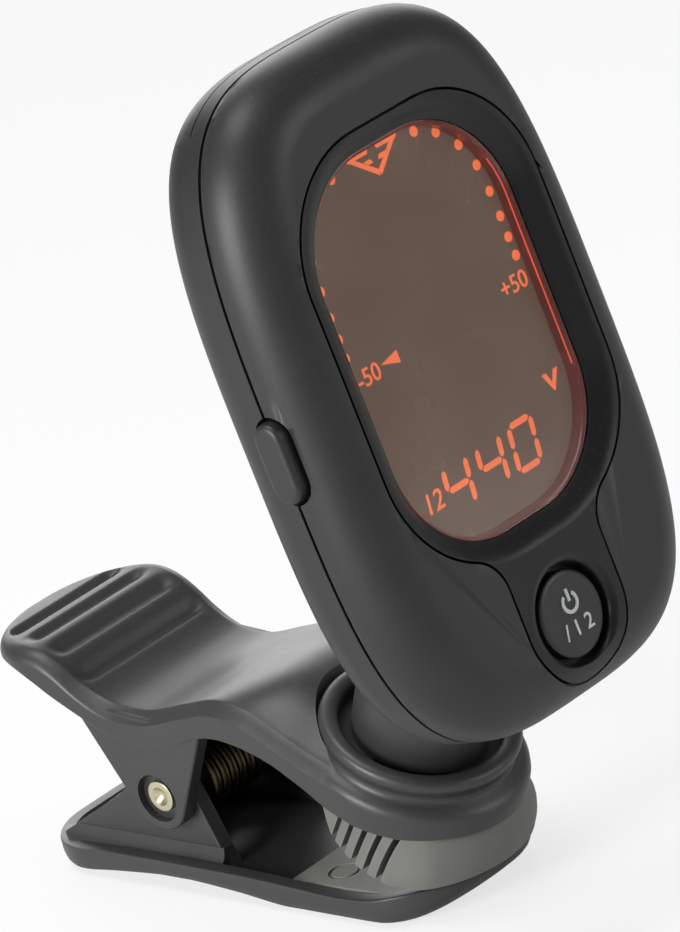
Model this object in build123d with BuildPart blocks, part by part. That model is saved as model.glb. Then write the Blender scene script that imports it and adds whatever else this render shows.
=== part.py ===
# Clip-on instrument tuner: a spring clip whose collar carries a turning post, and on
# the post a tilting display head.  Millimetres, +Z up, -Y is the side of the display
# and of the jaws, X is the direction of the hinge pins.  Everything is drawn from a
# point on the table plane below the clip's hinge pin, and shifted at the end so that
# the origin is the middle of the flat stretch of the underside, on which it stands.
from build123d import *
import os
from math import sin, cos, radians, degrees, atan2

os.makedirs("parts", exist_ok=True)

# ---------------------------------------------------------------- driving dimensions
# clearances
run_gap = 0.05          # radial gap of a shaft that turns in its hole
slip_gap = 0.12         # between moulded pieces that slide or drop in
groove_gap = 0.25       # open line round the bezel insert
rubber_gap = 0.35       # between the two jaw pads
seam_gap = 0.35         # open line between the two halves of the head
switch_gap = 0.05       # left between a pressed button and its switch

# clip: front distances are counted from the hinge pin, heights from the table
pin_z = 9.2
pin_r = 1.5
pin_recess = 0.35       # how far the pin ends sit inside the ears
pin_dimple_r = 0.55
clip_half_w = 9.4       # upper arm at the hinge
thumb_half_w = 10.4
clip_wall = 1.6
cut_half = 12.0         # half length of what is cut or drawn across the clip
room_z = 24.0           # height over the table that covers the whole clip

lower_half_w = 9.5
lower_floor = 1.4
lower_tail, lower_heel = 18.1, 13.5
lower_nose, lower_nose_r = 32.2, 9.4
lower_corner_r = 7.0
flat_start, flat_end = 12.4, 22.6   # the underside touches the table between these
arch_rise = 1.0
rim_z, nose_z = 3.1, 5.0
tail_z = 1.8
nose_bend, nose_bend_z = 26.2, 1.1

ear_t = 1.6
ear_gap = 0.2
lower_ear_in = 5.7
lower_ear_r = 2.5
ear_rear, ear_front = 16.2, 5.0     # feet of the lower ears
ear_root_z, ear_root_r = 1.6, 0.4   # the ears' lower corners, sunk in the floor
ear_foot_z, ear_foot_rear, ear_foot_t = 4.4, 11.0, 0.5
foot_root_z = 1.3
wedge_t, wedge_front = 1.2, 5.6     # sloping tail plate between the lower ears

upper_tail, upper_corner_r = 21.0, 6.5
upper_plate = 1.9
thumb_top, thumb_top_at = 22.5, 14.0
saddle_z, saddle_at = 17.5, 1.0
crest_z, crest_at = 19.7, 9.5
slope_end_at, slope_end_z = 24.0, 14.4
upper_edge_r = 1.2
upper_ear_r = 3.15
upper_ear_rear, upper_ear_front, upper_ear_top = 7.9, 6.9, 15.8
counterbore_r, counterbore_depth = 1.9, 0.35
# underside of the arm's skirt, and lower line of the band round the nose
thumb_low_z, heel_low_at, heel_low_z = 18.6, 10.0, 16.9
saddle_low_z, crest_low_z = 14.7, 16.5
knee_at, knee_low_z, slope_end_low_z = 18.0, 13.6, 10.6
band_rear_at, band_rear_z = 16.0, 14.9
band_front_at, band_front_z = 34.0, 7.6
thumb_drop, tail_over = 1.6, 1.0        # fall of the thumb plate to its end, and drawn past it
groove_count = 4
groove_first, groove_pitch = 7.3, 2.9   # thumb grooves, behind the pin
groove_half_len, groove_r, groove_depth = 7.6, 0.9, 0.5

# collar and post: lengths along the collar axis are counted from the collar's mouth
collar_at = (25.7, 16.0)    # front distance and height of the middle of the mouth
collar_lean = 25.0          # the axis leans to the front
collar_r, collar_cove_r, collar_band_r = 8.8, 8.3, 9.35
collar_lip_h, collar_cove_h = 1.0, 1.6
collar_edge_r = 0.45
mouth_r, mouth_depth = 6.8, 1.5
post_r, post_rise = 6.05, 4.4
post_foot_gap = 0.2
journal_r = 4.0
socket_floor = 3.1          # thickness of the arm between the mouth and the washer
band_wall = 0.65            # wall of the collar round the rubber pad
seat_room = 8.0             # room for the pad below its seat
washer_t, washer_r = 0.5, 5.2
swivel_screw_r, swivel_head_r, swivel_head_t, swivel_screw_l = 0.8, 1.9, 0.8, 6.0
tilt_reach = 9.0            # from the collar's mouth to the tilt axis
tongue_half_w, tongue_r = 3.2, 3.5
friction_t, friction_r = 0.4, 3.0
lug_t, lug_r = 2.2, 3.5
tilt_screw_r, tilt_head_r, tilt_head_t = 1.25, 2.2, 0.8
nut_flats, nut_t = 4.2, 1.2

# jaw pads
pad_fit_gap = 0.15          # round the upper pad in its seat
pad_back, pad_rear_z = 19.0, 11.4
pad_knee_at, pad_knee_z = 21.4, 9.3
pad_pocket_gap = 0.3        # round the swivel washer and screw
pad_low_z, pad_low_at = 5.35, 26.4
pad_rib_count, pad_rib_first, pad_rib_pitch = 5, 21.2, 1.75
pad_rib_w, pad_rib_depth, pad_rib_lean = 0.55, 0.5, 35.0
lower_pad_back, lower_pad_t = 12.5, 1.3
dimple_r, dimple_depth, dimple_x, dimple_at = 1.5, 0.35, 5.0, 17.0

# head, in its own plane: x, height above the mode button, depth from the face
head_lean = 11.66
head_half_w, head_low, head_top, head_t = 19.1, -7.65, 52.85, 12.5
head_corner_r = 11.5
head_side_bow, head_end_bow = 1.5, 1.6
front_depth = 5.5           # face to the seam
front_edge_r, rear_edge_r = 5.0, 4.8
shell_wall, face_t = 1.5, 1.4
hinge_v = -0.7              # tilt axis above the mode button
hinge_standoff = 5.3        # tilt axis behind the rear face

# bezel insert and display
face_border, window_border = 4.7, 2.3   # head edge to lobe, lobe to window, at the sides
lobe_top, lobe_low, lobe_r = 45.0, 7.6, 10.5
neck_half_w, neck_low, neck_blend_r = 5.9, -5.8, 4.0
bezel_flange_t, bezel_flange_w = 0.8, 1.1
window_low, window_top, window_r = 8.8, 43.2, 9.6
dish_depth, dish_flare = 1.3, 1.7
lens_t, lens_over = 0.7, 1.0
lcd_t, light_t = 1.3, 1.0
lcd_over, light_low = 0.9, 11.0
zebra_w, zebra_half_l = 1.3, 11.0
board_t, board_inset = 1.0, 2.6

# buttons and switches
button_r, button_hole_r, button_drop, button_travel = 3.75, 4.3, 0.5, 0.45
button_flange_r, button_flange_t, button_stem_r = 4.9, 0.6, 1.5
switch_half, switch_t, switch_knob_r, switch_knob_h = 2.25, 0.65, 0.9, 0.2
side_v, side_len, side_w = 22.95, 7.2, 3.1
side_slot_len, side_slot_w, side_proud, side_travel = 7.9, 3.9, 0.95, 0.45
side_flange_t, side_flange_over, side_stem_r = 0.45, 0.7, 0.9
side_switch_t, side_switch_len, side_switch_w = 1.5, 4.4, 1.8

# battery, cover, fasteners and sensor
cell_r, cell_t, cell_v = 10.0, 3.2, 35.0
contact_t, contact_w = 0.3, 3.0
minus_half_l, minus_pip_r = 4.0, 1.2
plus_foot_l = 3.0
cover_border = 5.5          # head edge to battery cover, at the sides
cover_low, cover_split = 21.0, 7.6
tab_half_w, tab_l, tab_t, tab_root = 4.0, 1.6, 0.8, 2.5
boss_r, boss_bore_r, case_screw_r = 1.8, 1.05, 0.8
upper_boss_in, upper_boss_v = 4.1, 48.0     # two screws in the battery bay
lower_boss_in, lower_boss_v = 6.5, 2.6      # two screws below it
bay_boss_depth = 9.6
boss_foot_r = 2.4
case_screw_l, case_head_r, case_head_t, case_head_sink = 6.0, 1.55, 0.9, 1.3
piezo_r, piezo_t, piezo_v = 6.0, 0.4, 4.0
chip_side, chip_t, chip_v = 8.0, 1.2, 14.0

# spring
wire_r, coil_r, coil_turns, coil_pitch = 0.5, 2.9, 8, 1.1
upper_leg_rise, upper_leg_l = 30.0, 15.6
lower_leg_fall, lower_leg_l = 20.0, 12.4

# sizes that follow from the ones above
pad_seat_r = collar_band_r - band_wall
pad_r = pad_seat_r - pad_fit_gap            # upper pad, round the collar axis
lobe_half_w = head_half_w - face_border
window_half_w = lobe_half_w - window_border
cover_half_w = head_half_w - cover_border
upper_boss_x = cover_half_w - upper_boss_in
lower_boss_x = head_half_w - lower_boss_in

# ---------------------------------------------------------------- reference planes
COLLAR = Plane(
    origin=(0, -collar_at[0], collar_at[1]),
    x_dir=(1, 0, 0),
    z_dir=(0, -sin(radians(collar_lean)), cos(radians(collar_lean))),
)
face_up = Vector(0, sin(radians(head_lean)), cos(radians(head_lean)))
face_out = Vector(0, -cos(radians(head_lean)), sin(radians(head_lean)))
hinge_d = -(head_t + hinge_standoff)
tilt_axis = COLLAR.from_local_coords((0, 0, tilt_reach))
head_origin = tilt_axis - face_up * hinge_v - face_out * hinge_d
HEAD = Plane(origin=head_origin, x_dir=(1, 0, 0), z_dir=tuple(face_out))


def side_plane(x):
    """Sketch plane across the hinge pin: local x is the front distance, y the height."""
    return Plane(origin=(x, 0, 0), x_dir=(0, -1, 0), z_dir=(-1, 0, 0))


def head_side_plane(x):
    """Sketch plane across the tilt axis: local x is the depth, y the height."""
    start = HEAD.from_local_coords((x, 0, 0))
    return Plane(origin=start, x_dir=tuple(face_out), z_dir=(-1, 0, 0))


def save(piece, name):
    """Write a finished piece, shifted so that the origin lies on the flat underside."""
    placed = piece.moved(Location((0, (flat_start + flat_end) / 2, 0)))
    placed.label = name
    export_step(placed, "parts/" + name + ".step")


# ---------------------------------------------------------------- lower arm and its pad
def lower_plan(inset):
    """Outline of the lower arm seen from above, moved inwards by inset."""
    half = lower_half_w - inset
    rear = lower_tail - inset
    nose_at = lower_nose - lower_nose_r
    with BuildSketch(Plane.XY.offset(-2)) as plan:
        with Locations((0, (rear - nose_at) / 2)):
            Rectangle(2 * half, rear + nose_at)
        fillet(plan.vertices().group_by(Axis.Y)[-1], lower_corner_r - inset)
        with Locations((0, -nose_at)):
            Circle(lower_nose_r - inset)
    return plan.sketch


def lower_side(lift, top_z):
    """Side view of what lies above the underside raised by lift, up to top_z."""
    with BuildSketch(side_plane(0)) as outline:
        with BuildLine():
            tail = Line((-lower_tail - 1, top_z), (-lower_tail - 1, tail_z + lift))
            heel = Spline(
                tail @ 1,
                (-lower_heel, lift),
                tangents=[(0.3, -1), (1, 0)],
            )
            mid_at = (flat_start - lower_heel) / 2
            arch = ThreePointArc(
                heel @ 1, (mid_at, arch_rise + lift), (flat_start, lift)
            )
            flat = Line(arch @ 1, (flat_end, lift))
            bend = Spline(
                flat @ 1,
                (nose_bend, nose_bend_z + lift * 1.05),
                tangents=[(1, 0), (lower_nose - nose_bend, nose_z - nose_bend_z)],
            )
            rise = lower_nose + 1 - nose_bend
            slope = (nose_z - nose_bend_z) / (lower_nose - nose_bend)
            nose = Line(
                bend @ 1,
                (lower_nose + 1, nose_bend_z + lift * 1.05 + rise * slope),
            )
            Line(nose @ 1, (lower_nose + 1, top_z + 4))
            Line((lower_nose + 1, top_z + 4), tail @ 0)
        make_face()
    return outline.sketch


def rim_side():
    """Side view of everything below the rim of the lower tray."""
    with BuildSketch(side_plane(0)) as outline:
        with BuildLine():
            rear = Line((-lower_tail - 1, -3), (-lower_tail - 1, tail_z + 0.2))
            sweep = Spline(
                rear @ 1, (-6.0, rim_z), tangents=[(1, 0.1), (1, 0)]
            )
            rim = Line(sweep @ 1, (20.0, rim_z))
            lift = Spline(
                rim @ 1, (lower_nose - 4.5, nose_z), tangents=[(1, 0), (1, 0)]
            )
            front = Line(lift @ 1, (lower_nose + 2, nose_z))
            Line(front @ 1, (lower_nose + 2, -3))
            Line((lower_nose + 2, -3), rear @ 0)
        make_face()
    return outline.sketch


with BuildPart() as tray_hollow:
    extrude(lower_plan(clip_wall), amount=room_z)
    extrude(lower_side(lower_floor, 11), amount=cut_half, both=True, mode=Mode.INTERSECT)

with BuildPart() as lower_arm:
    extrude(lower_plan(0), amount=room_z)
    extrude(lower_side(0, 11), amount=cut_half, both=True, mode=Mode.INTERSECT)
    extrude(rim_side(), amount=cut_half, both=True, mode=Mode.INTERSECT)
    add(tray_hollow.part, mode=Mode.SUBTRACT)
    for side in (1, -1):
        # tapering ear that carries the hinge pin
        with BuildSketch(side_plane(side * (lower_ear_in + ear_t / 2))):
            with Locations((0, pin_z)):
                Circle(lower_ear_r)
            with Locations((-ear_rear, ear_root_z), (ear_front, ear_root_z)):
                Circle(ear_root_r)
            make_hull()
        extrude(amount=ear_t / 2, both=True)
        # thicker foot of the ear, standing on the tray floor
        foot_mid = (ear_front - ear_foot_rear) / 2
        foot_len = ear_front + ear_foot_rear
        with BuildSketch(side_plane(side * (lower_ear_in + ear_t + ear_foot_t / 2))):
            with Locations((foot_mid, (ear_foot_z + foot_root_z) / 2)):
                Rectangle(foot_len, ear_foot_z - foot_root_z)
        extrude(amount=ear_foot_t / 2, both=True)
    # sloping plate that closes the tail between the ears
    slope = atan2(pin_z + lower_ear_r * 0.8 - tail_z, ear_rear)
    plate_l = (ear_rear - wedge_front) / cos(slope)
    with BuildSketch(side_plane(0)):
        with Locations(Location((-ear_rear, tail_z + 0.3, 0), (0, 0, degrees(slope)))):
            Rectangle(plate_l, wedge_t, align=(Align.MIN, Align.MAX))
    extrude(amount=lower_ear_in + 0.2, both=True)
    # running holes for the pin
    with BuildSketch(side_plane(0)):
        with Locations((0, pin_z)):
            Circle(pin_r + run_gap)
    extrude(amount=lower_half_w, both=True, mode=Mode.SUBTRACT)
save(lower_arm.part, "lower_arm")

with BuildPart() as lower_jaw_pad:
    extrude(lower_plan(clip_wall + slip_gap), amount=room_z)
    extrude(lower_side(lower_floor, 11), amount=cut_half, both=True, mode=Mode.INTERSECT)
    with BuildSketch(side_plane(0)):
        with BuildLine():
            Polyline(
                (lower_pad_back, 0),
                (lower_pad_back, lower_floor + 0.7),
                (lower_pad_back + 2.5, lower_floor + lower_pad_t),
                (flat_end, lower_floor + lower_pad_t),
                (pad_low_at, pad_low_z - rubber_gap),
                (lower_nose, pad_low_z - rubber_gap),
                (lower_nose, 0),
                close=True,
            )
        make_face()
    extrude(amount=cut_half, both=True, mode=Mode.INTERSECT)
    with Locations((-dimple_x, -dimple_at, lower_floor + lower_pad_t)):
        Cylinder(dimple_r, 2 * dimple_depth, mode=Mode.SUBTRACT)
save(lower_jaw_pad.part, "lower_jaw_pad")


# ---------------------------------------------------------------- upper arm and collar
def upper_plan(inset):
    """Outline of the upper arm seen from above, from the thumb end to the collar."""
    half, thumb = clip_half_w - inset, thumb_half_w - inset
    nose = collar_band_r - inset
    rear = upper_tail - inset
    with BuildSketch(Plane.XY.offset(2)) as plan:
        with BuildLine():
            right = ThreePointArc(
                (thumb, rear), (half, -saddle_at), (nose, -slope_end_at)
            )
            front = Line(right @ 1, (-nose, -slope_end_at))
            left = ThreePointArc(front @ 1, (-half, -saddle_at), (-thumb, rear))
            Line(left @ 1, right @ 0)
        make_face()
        fillet(plan.vertices().group_by(Axis.Y)[-1], upper_corner_r - inset)
    return plan.sketch


def upper_side(drop, low):
    """Side view of the upper arm: top surface lowered by drop, underside given by low."""
    with BuildSketch(side_plane(0)) as outline:
        with BuildLine():
            top = Spline(
                (-upper_tail - tail_over, thumb_top - thumb_drop - drop),
                (-thumb_top_at, thumb_top - drop),
                (-saddle_at, saddle_z - drop),
                (crest_at, crest_z - drop),
                (slope_end_at, slope_end_z - drop),
            )
            down = Line(top @ 1, (slope_end_at, low[-1][1]))
            under = Spline(*reversed(low))
            Line(under @ 1, top @ 0)
            if low[-1][0] != slope_end_at:
                Line(down @ 1, under @ 0)
        make_face()
    return outline.sketch


skirt_low = [
    (-upper_tail - tail_over, thumb_low_z),
    (-heel_low_at, heel_low_z),
    (0, saddle_low_z),
    (crest_at, crest_low_z),
    (knee_at, knee_low_z),
    (slope_end_at, slope_end_low_z),
]
open_low = [(-upper_tail - tail_over, pin_z), (slope_end_at, nose_z)]
band_low_rear, band_low_front = (band_rear_at, band_rear_z), (band_front_at, band_front_z)


band_top = collar_lip_h + collar_cove_h
seat_t = mouth_depth + socket_floor      # depth of the swivel washer's seat

with BuildPart() as under_plate:
    extrude(upper_plan(clip_wall), amount=room_z)
    extrude(upper_side(upper_plate, open_low), amount=cut_half, both=True, mode=Mode.INTERSECT)
    with BuildSketch(COLLAR.offset(-seat_t)):
        Circle(pad_seat_r)
    extrude(amount=seat_t + seat_room, mode=Mode.SUBTRACT)

with BuildPart() as collar_ring:
    with BuildSketch(COLLAR.offset(-collar_lip_h)):
        Circle(collar_r)
    extrude(amount=collar_lip_h)
    fillet(collar_ring.edges().filter_by(GeomType.CIRCLE), collar_edge_r)
    with BuildSketch(COLLAR.offset(-seat_t)):
        Circle(collar_cove_r)
    extrude(amount=seat_t - collar_lip_h / 2)

with BuildPart() as nose_band:
    with BuildSketch(COLLAR.offset(-band_top)):
        Circle(collar_band_r)
    extrude(amount=-10)
    with BuildSketch(side_plane(0)):
        with BuildLine():
            Polyline(
                band_low_rear, (slope_end_at, skirt_low[-1][1]), band_low_front,
                (band_front_at, room_z), (band_rear_at, room_z), close=True,
            )
        make_face()
    extrude(amount=cut_half, both=True, mode=Mode.INTERSECT)

with BuildPart() as upper_arm:
    extrude(upper_plan(0), amount=room_z)
    extrude(upper_side(0, skirt_low), amount=cut_half, both=True, mode=Mode.INTERSECT)
    fillet(
        upper_arm.faces().sort_by(Axis.Z)[-1].edges().filter_by(
            lambda e: abs(e.center().X) > 1 or e.center().Y > 18
        ),
        upper_edge_r,
    )
    # collar: a lip above a narrower cove, standing on the rounded front of the arm
    add(nose_band.part)
    add(collar_ring.part)
    # hollow under the thumb plate, seat of the rubber pad, socket of the post
    add(under_plate.part, mode=Mode.SUBTRACT)
    with BuildSketch(COLLAR.offset(-seat_t)):
        Circle(pad_seat_r)
    extrude(amount=-seat_room, mode=Mode.SUBTRACT)
    with BuildSketch(COLLAR.offset(1)):
        Circle(mouth_r)
    extrude(amount=-1 - mouth_depth, mode=Mode.SUBTRACT)
    with BuildSketch(COLLAR):
        Circle(journal_r + run_gap)
    extrude(amount=-seat_t, mode=Mode.SUBTRACT)
    # ears outside those of the lower arm, with counterbores round the pin ends
    ear_in = lower_ear_in + ear_t + ear_gap
    for side in (1, -1):
        with BuildSketch(side_plane(side * (ear_in + ear_t / 2))):
            with Locations((0, pin_z)):
                Circle(upper_ear_r)
            with Locations((-upper_ear_rear, upper_ear_top),
                           (upper_ear_front, upper_ear_top)):
                Circle(0.3)
            make_hull()
        extrude(amount=ear_t / 2, both=True)
        with BuildSketch(side_plane(side * (ear_in + ear_t - counterbore_depth / 2))):
            with Locations((0, pin_z)):
                Circle(counterbore_r)
        extrude(amount=counterbore_depth / 2, both=True, mode=Mode.SUBTRACT)
    with BuildSketch(side_plane(0)):
        with Locations((0, pin_z)):
            Circle(pin_r)
    extrude(amount=ear_in + ear_t, both=True, mode=Mode.SUBTRACT)
    # thumb grooves
    for i in range(groove_count):
        back_at = groove_first + i * groove_pitch
        span = thumb_top_at - saddle_at
        rise = 0.5 - 0.5 * cos(radians(180 * min(1.0, (back_at - saddle_at) / span)))
        top_z = saddle_z + (thumb_top - saddle_z) * rise
        with Locations(Location((0, back_at, top_z + groove_r - groove_depth),
                                (0, 90, 0))):
            Cylinder(groove_r, 2 * groove_half_len, mode=Mode.SUBTRACT)
save(upper_arm.part, "upper_arm")

with BuildPart() as pad_grooves:
    for i in range(pad_rib_count):
        with BuildSketch(side_plane(0)):
            with Locations(Location((pad_rib_first + i * pad_rib_pitch, 8.2, 0),
                                    (0, 0, -pad_rib_lean))):
                Rectangle(pad_rib_w, 16)
        extrude(amount=cut_half, both=True)
    with BuildSketch(COLLAR.offset(-seat_t)):
        Circle(pad_r - pad_rib_depth)
    extrude(amount=-20, both=True, mode=Mode.SUBTRACT)

with BuildPart() as upper_jaw_pad:
    with BuildSketch(COLLAR.offset(-seat_t)):
        Circle(pad_r)
    extrude(amount=-16)
    with BuildSketch(side_plane(0)):
        with BuildLine():
            Polyline(
                (pad_back, room_z), (pad_back, pad_rear_z), (pad_knee_at, pad_knee_z),
                (pad_low_at, pad_low_z), (lower_nose + 2, pad_low_z),
                (lower_nose + 2, room_z), close=True,
            )
        make_face()
    extrude(amount=cut_half, both=True, mode=Mode.INTERSECT)
    # pocket for the swivel washer and the head of its screw
    with BuildSketch(COLLAR.offset(-seat_t)):
        Circle(washer_r + pad_pocket_gap)
    extrude(amount=-run_gap - washer_t - swivel_head_t - pad_pocket_gap, mode=Mode.SUBTRACT)
    # grip grooves round the sides
    add(pad_grooves.part, mode=Mode.SUBTRACT)
save(upper_jaw_pad.part, "upper_jaw_pad")

pin_half_l = ear_in + ear_t - pin_recess
with BuildPart() as hinge_pin:
    with BuildSketch(side_plane(0)):
        with Locations((0, pin_z)):
            Circle(pin_r)
    extrude(amount=pin_half_l, both=True)
    with Locations((pin_half_l, 0, pin_z), (-pin_half_l, 0, pin_z)):
        Sphere(pin_dimple_r, mode=Mode.SUBTRACT)
save(hinge_pin.part, "hinge_pin")

# ---------------------------------------------------------------- spring
# The wire is wound round the pin; both ends run to the rear, one under each arm.
turns = coil_turns + (180 - upper_leg_rise - lower_leg_fall) / 360
coil_l = turns * coil_pitch
top_a, low_a = radians(upper_leg_rise), radians(180 - lower_leg_fall)
COIL = Plane(
    origin=(-coil_l / 2, 0, pin_z),
    x_dir=(0, -sin(top_a), cos(top_a)),
    z_dir=(1, 0, 0),
)
winding = COIL * Helix(pitch=coil_pitch, height=coil_l, radius=coil_r)
with BuildPart() as torsion_spring:
    with BuildSketch(Plane(origin=winding @ 0, z_dir=winding % 0)):
        Circle(wire_r)
    sweep(path=winding, is_frenet=True)
    for at, ang, length, sign in (
        (-coil_l / 2, top_a, upper_leg_l, -1),
        (coil_l / 2, low_a, lower_leg_l, 1),
    ):
        start = Vector(at, -coil_r * sin(ang), pin_z + coil_r * cos(ang))
        along = Vector(0, -cos(ang), -sin(ang)) * sign
        with BuildSketch(Plane(origin=start - along * wire_r, z_dir=along)):
            Circle(wire_r)
        extrude(amount=length + wire_r)
save(torsion_spring.part, "torsion_spring")

# ---------------------------------------------------------------- turning post
with BuildPart() as swivel_post:
    foot_at = mouth_depth - post_foot_gap
    with BuildSketch(COLLAR.offset(-foot_at)):
        Circle(post_r)
    extrude(amount=foot_at + post_rise)
    with BuildSketch(COLLAR.offset(-seat_t)):
        Circle(journal_r)
    extrude(amount=seat_t)
    # tongue that carries the tilt screw
    mid = (-tilt_axis.Y, tilt_axis.Z)
    foot = COLLAR.from_local_coords((0, 0, 1.0))
    with BuildSketch(side_plane(0)):
        with Locations(mid, (-foot.Y, foot.Z)):
            Circle(tongue_r)
        make_hull()
    extrude(amount=tongue_half_w, both=True)
    with BuildSketch(side_plane(0)):
        with Locations(mid):
            Circle(tilt_screw_r + run_gap)
    extrude(amount=tongue_half_w, both=True, mode=Mode.SUBTRACT)
    with BuildSketch(COLLAR.offset(-seat_t)):
        Circle(swivel_screw_r)
    extrude(amount=swivel_screw_l, mode=Mode.SUBTRACT)
save(swivel_post.part, "swivel_post")

with BuildPart() as swivel_washer:
    with BuildSketch(COLLAR.offset(-seat_t - run_gap)):
        Circle(washer_r)
        Circle(swivel_screw_r + slip_gap, mode=Mode.SUBTRACT)
    extrude(amount=-washer_t)
save(swivel_washer.part, "swivel_washer")

with BuildPart() as swivel_screw:
    with BuildSketch(COLLAR.offset(-seat_t - run_gap - washer_t)):
        Circle(swivel_head_r)
    extrude(amount=-swivel_head_t)
    with BuildSketch(COLLAR.offset(-seat_t - run_gap - washer_t)):
        Circle(swivel_screw_r)
    extrude(amount=run_gap + washer_t + swivel_screw_l - slip_gap)
save(swivel_screw.part, "swivel_screw")


# ---------------------------------------------------------------- head shells
def head_outline(inset, depth):
    """Outline of the head moved inwards by inset, on a plane at the given depth."""
    half = head_half_w - inset
    low, top = head_low + inset, head_top - inset
    side = half - head_side_bow
    mid = (low + top) / 2
    with BuildSketch(HEAD.offset(-depth)) as outline:
        with BuildLine():
            bow = head_end_bow
            right = ThreePointArc((side, low + bow), (half, mid), (side, top - bow))
            over = ThreePointArc(right @ 1, (0, top), (-side, top - bow))
            left = ThreePointArc(over @ 1, (-half, mid), (-side, low + bow))
            ThreePointArc(left @ 1, (0, low), right @ 0)
        make_face()
        fillet(outline.vertices(), head_corner_r - inset * 0.9)
    return outline.sketch


def keyhole(outset, depth):
    """Outline of the bezel insert: the display lobe and the button neck, blended."""
    half = lobe_half_w + outset
    neck = neck_half_w + outset
    with BuildSketch(HEAD.offset(-depth)) as shape:
        with Locations((0, (lobe_low + lobe_top) / 2)):
            RectangleRounded(2 * half, lobe_top - lobe_low + 2 * outset,
                             lobe_r + outset)
        with Locations((0, (neck_low + neck_half_w + lobe_low + 4) / 2)):
            Rectangle(2 * neck, lobe_low + 4 - neck_low - neck_half_w)
        with Locations((0, neck_low + neck_half_w)):
            Circle(neck)
        meets = shape.vertices().filter_by(
            lambda p: abs(abs(p.X) - neck) < 0.05 and lobe_low - 2 < p.Y < lobe_low + 4
        )
        fillet(meets, neck_blend_r - outset * 0.9)
    return shape.sketch


def window(outset, depth):
    """Outline of the display window moved outwards by outset."""
    with BuildSketch(HEAD.offset(-depth)) as shape:
        with Locations((0, (window_low + window_top) / 2)):
            RectangleRounded(2 * (window_half_w + outset),
                             window_top - window_low + 2 * outset,
                             window_r + outset)
    return shape.sketch


def head_disc(x, v, radius, depth_from, depth_to, mode=Mode.ADD):
    """Cylinder across the head between two depths, added to the current part."""
    with BuildSketch(HEAD.offset(-depth_from)) as face:
        with Locations((x, v)):
            Circle(radius)
    extrude(face.sketch, amount=depth_from - depth_to, mode=mode)


def head_block(x, v, width, height, depth_from, depth_to, mode=Mode.ADD):
    """Box across the head between two depths, added to the current part."""
    with BuildSketch(HEAD.offset(-depth_from)) as face:
        with Locations((x, v)):
            Rectangle(width, height)
    extrude(face.sketch, amount=depth_from - depth_to, mode=mode)


seam = front_depth
rear_in = head_t - shell_wall
boss_spots = [
    (side * x, v, seat)
    for side in (1, -1)
    for x, v, seat in (
        (upper_boss_x, upper_boss_v, bay_boss_depth),
        (lower_boss_x, lower_boss_v, head_t - case_head_sink - case_head_t),
    )
]
lens_at = face_t + bezel_flange_t
lcd_at = lens_at + lens_t
light_at = lcd_at + lcd_t
board_at = light_at + light_t
board_back = board_at + board_t
boss_end = board_back + slip_gap     # the front bosses reach just through the board

with BuildPart() as front_blank:
    extrude(head_outline(0, seam), amount=seam)
    fillet(front_blank.faces().sort_by(lambda f: HEAD.to_local_coords(f.center()).Z)[-1]
           .edges(), front_edge_r)

with BuildPart() as front_shell:
    add(front_blank.part)
    extrude(head_outline(shell_wall, seam), amount=seam - face_t, mode=Mode.SUBTRACT)
    # bosses for the case screws
    for x, v, seat in boss_spots:
        head_disc(x, v, boss_r, boss_end, face_t - 0.2)
        head_disc(x, v, case_screw_r, boss_end, face_t + 0.6, Mode.SUBTRACT)
    extrude(keyhole(groove_gap, 0), amount=-face_t, mode=Mode.SUBTRACT)
    # half of the opening for the side button
    slot = HEAD.from_local_coords((-head_half_w, side_v, -seam))
    with BuildSketch(Plane(origin=slot, x_dir=tuple(face_up), z_dir=(-1, 0, 0))):
        SlotOverall(side_slot_len, side_slot_w)
    extrude(amount=6, both=True, mode=Mode.SUBTRACT)
save(front_shell.part, "front_shell")

with BuildPart() as rear_full:
    extrude(head_outline(0, seam + seam_gap), amount=-(head_t - seam - seam_gap))
    fillet(rear_full.faces().sort_by(lambda f: HEAD.to_local_coords(f.center()).Z)[0]
           .edges(), rear_edge_r)
    extrude(head_outline(shell_wall, seam), amount=-(rear_in - seam), mode=Mode.SUBTRACT)

with BuildPart() as cover_room:
    cover_h = head_top + 2 - cover_low
    head_block(0, cover_low + cover_h / 2, 2 * cover_half_w, cover_h,
               cover_split, head_t + 1)

with BuildPart() as battery_cover:
    add(rear_full.part)
    add(cover_room.part, mode=Mode.INTERSECT)
    # tongue that slips under the edge of the rear shell
    tab_low = cover_low - tab_l
    head_block(0, cover_low + tab_root / 2, 2 * tab_half_w, tab_root,
               rear_in - slip_gap - tab_t, rear_in + 0.2)
    head_block(0, (tab_low + cover_low) / 2, 2 * tab_half_w, tab_l + 0.2,
               rear_in - slip_gap - tab_t, rear_in - slip_gap)
save(battery_cover.part, "battery_cover")

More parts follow.
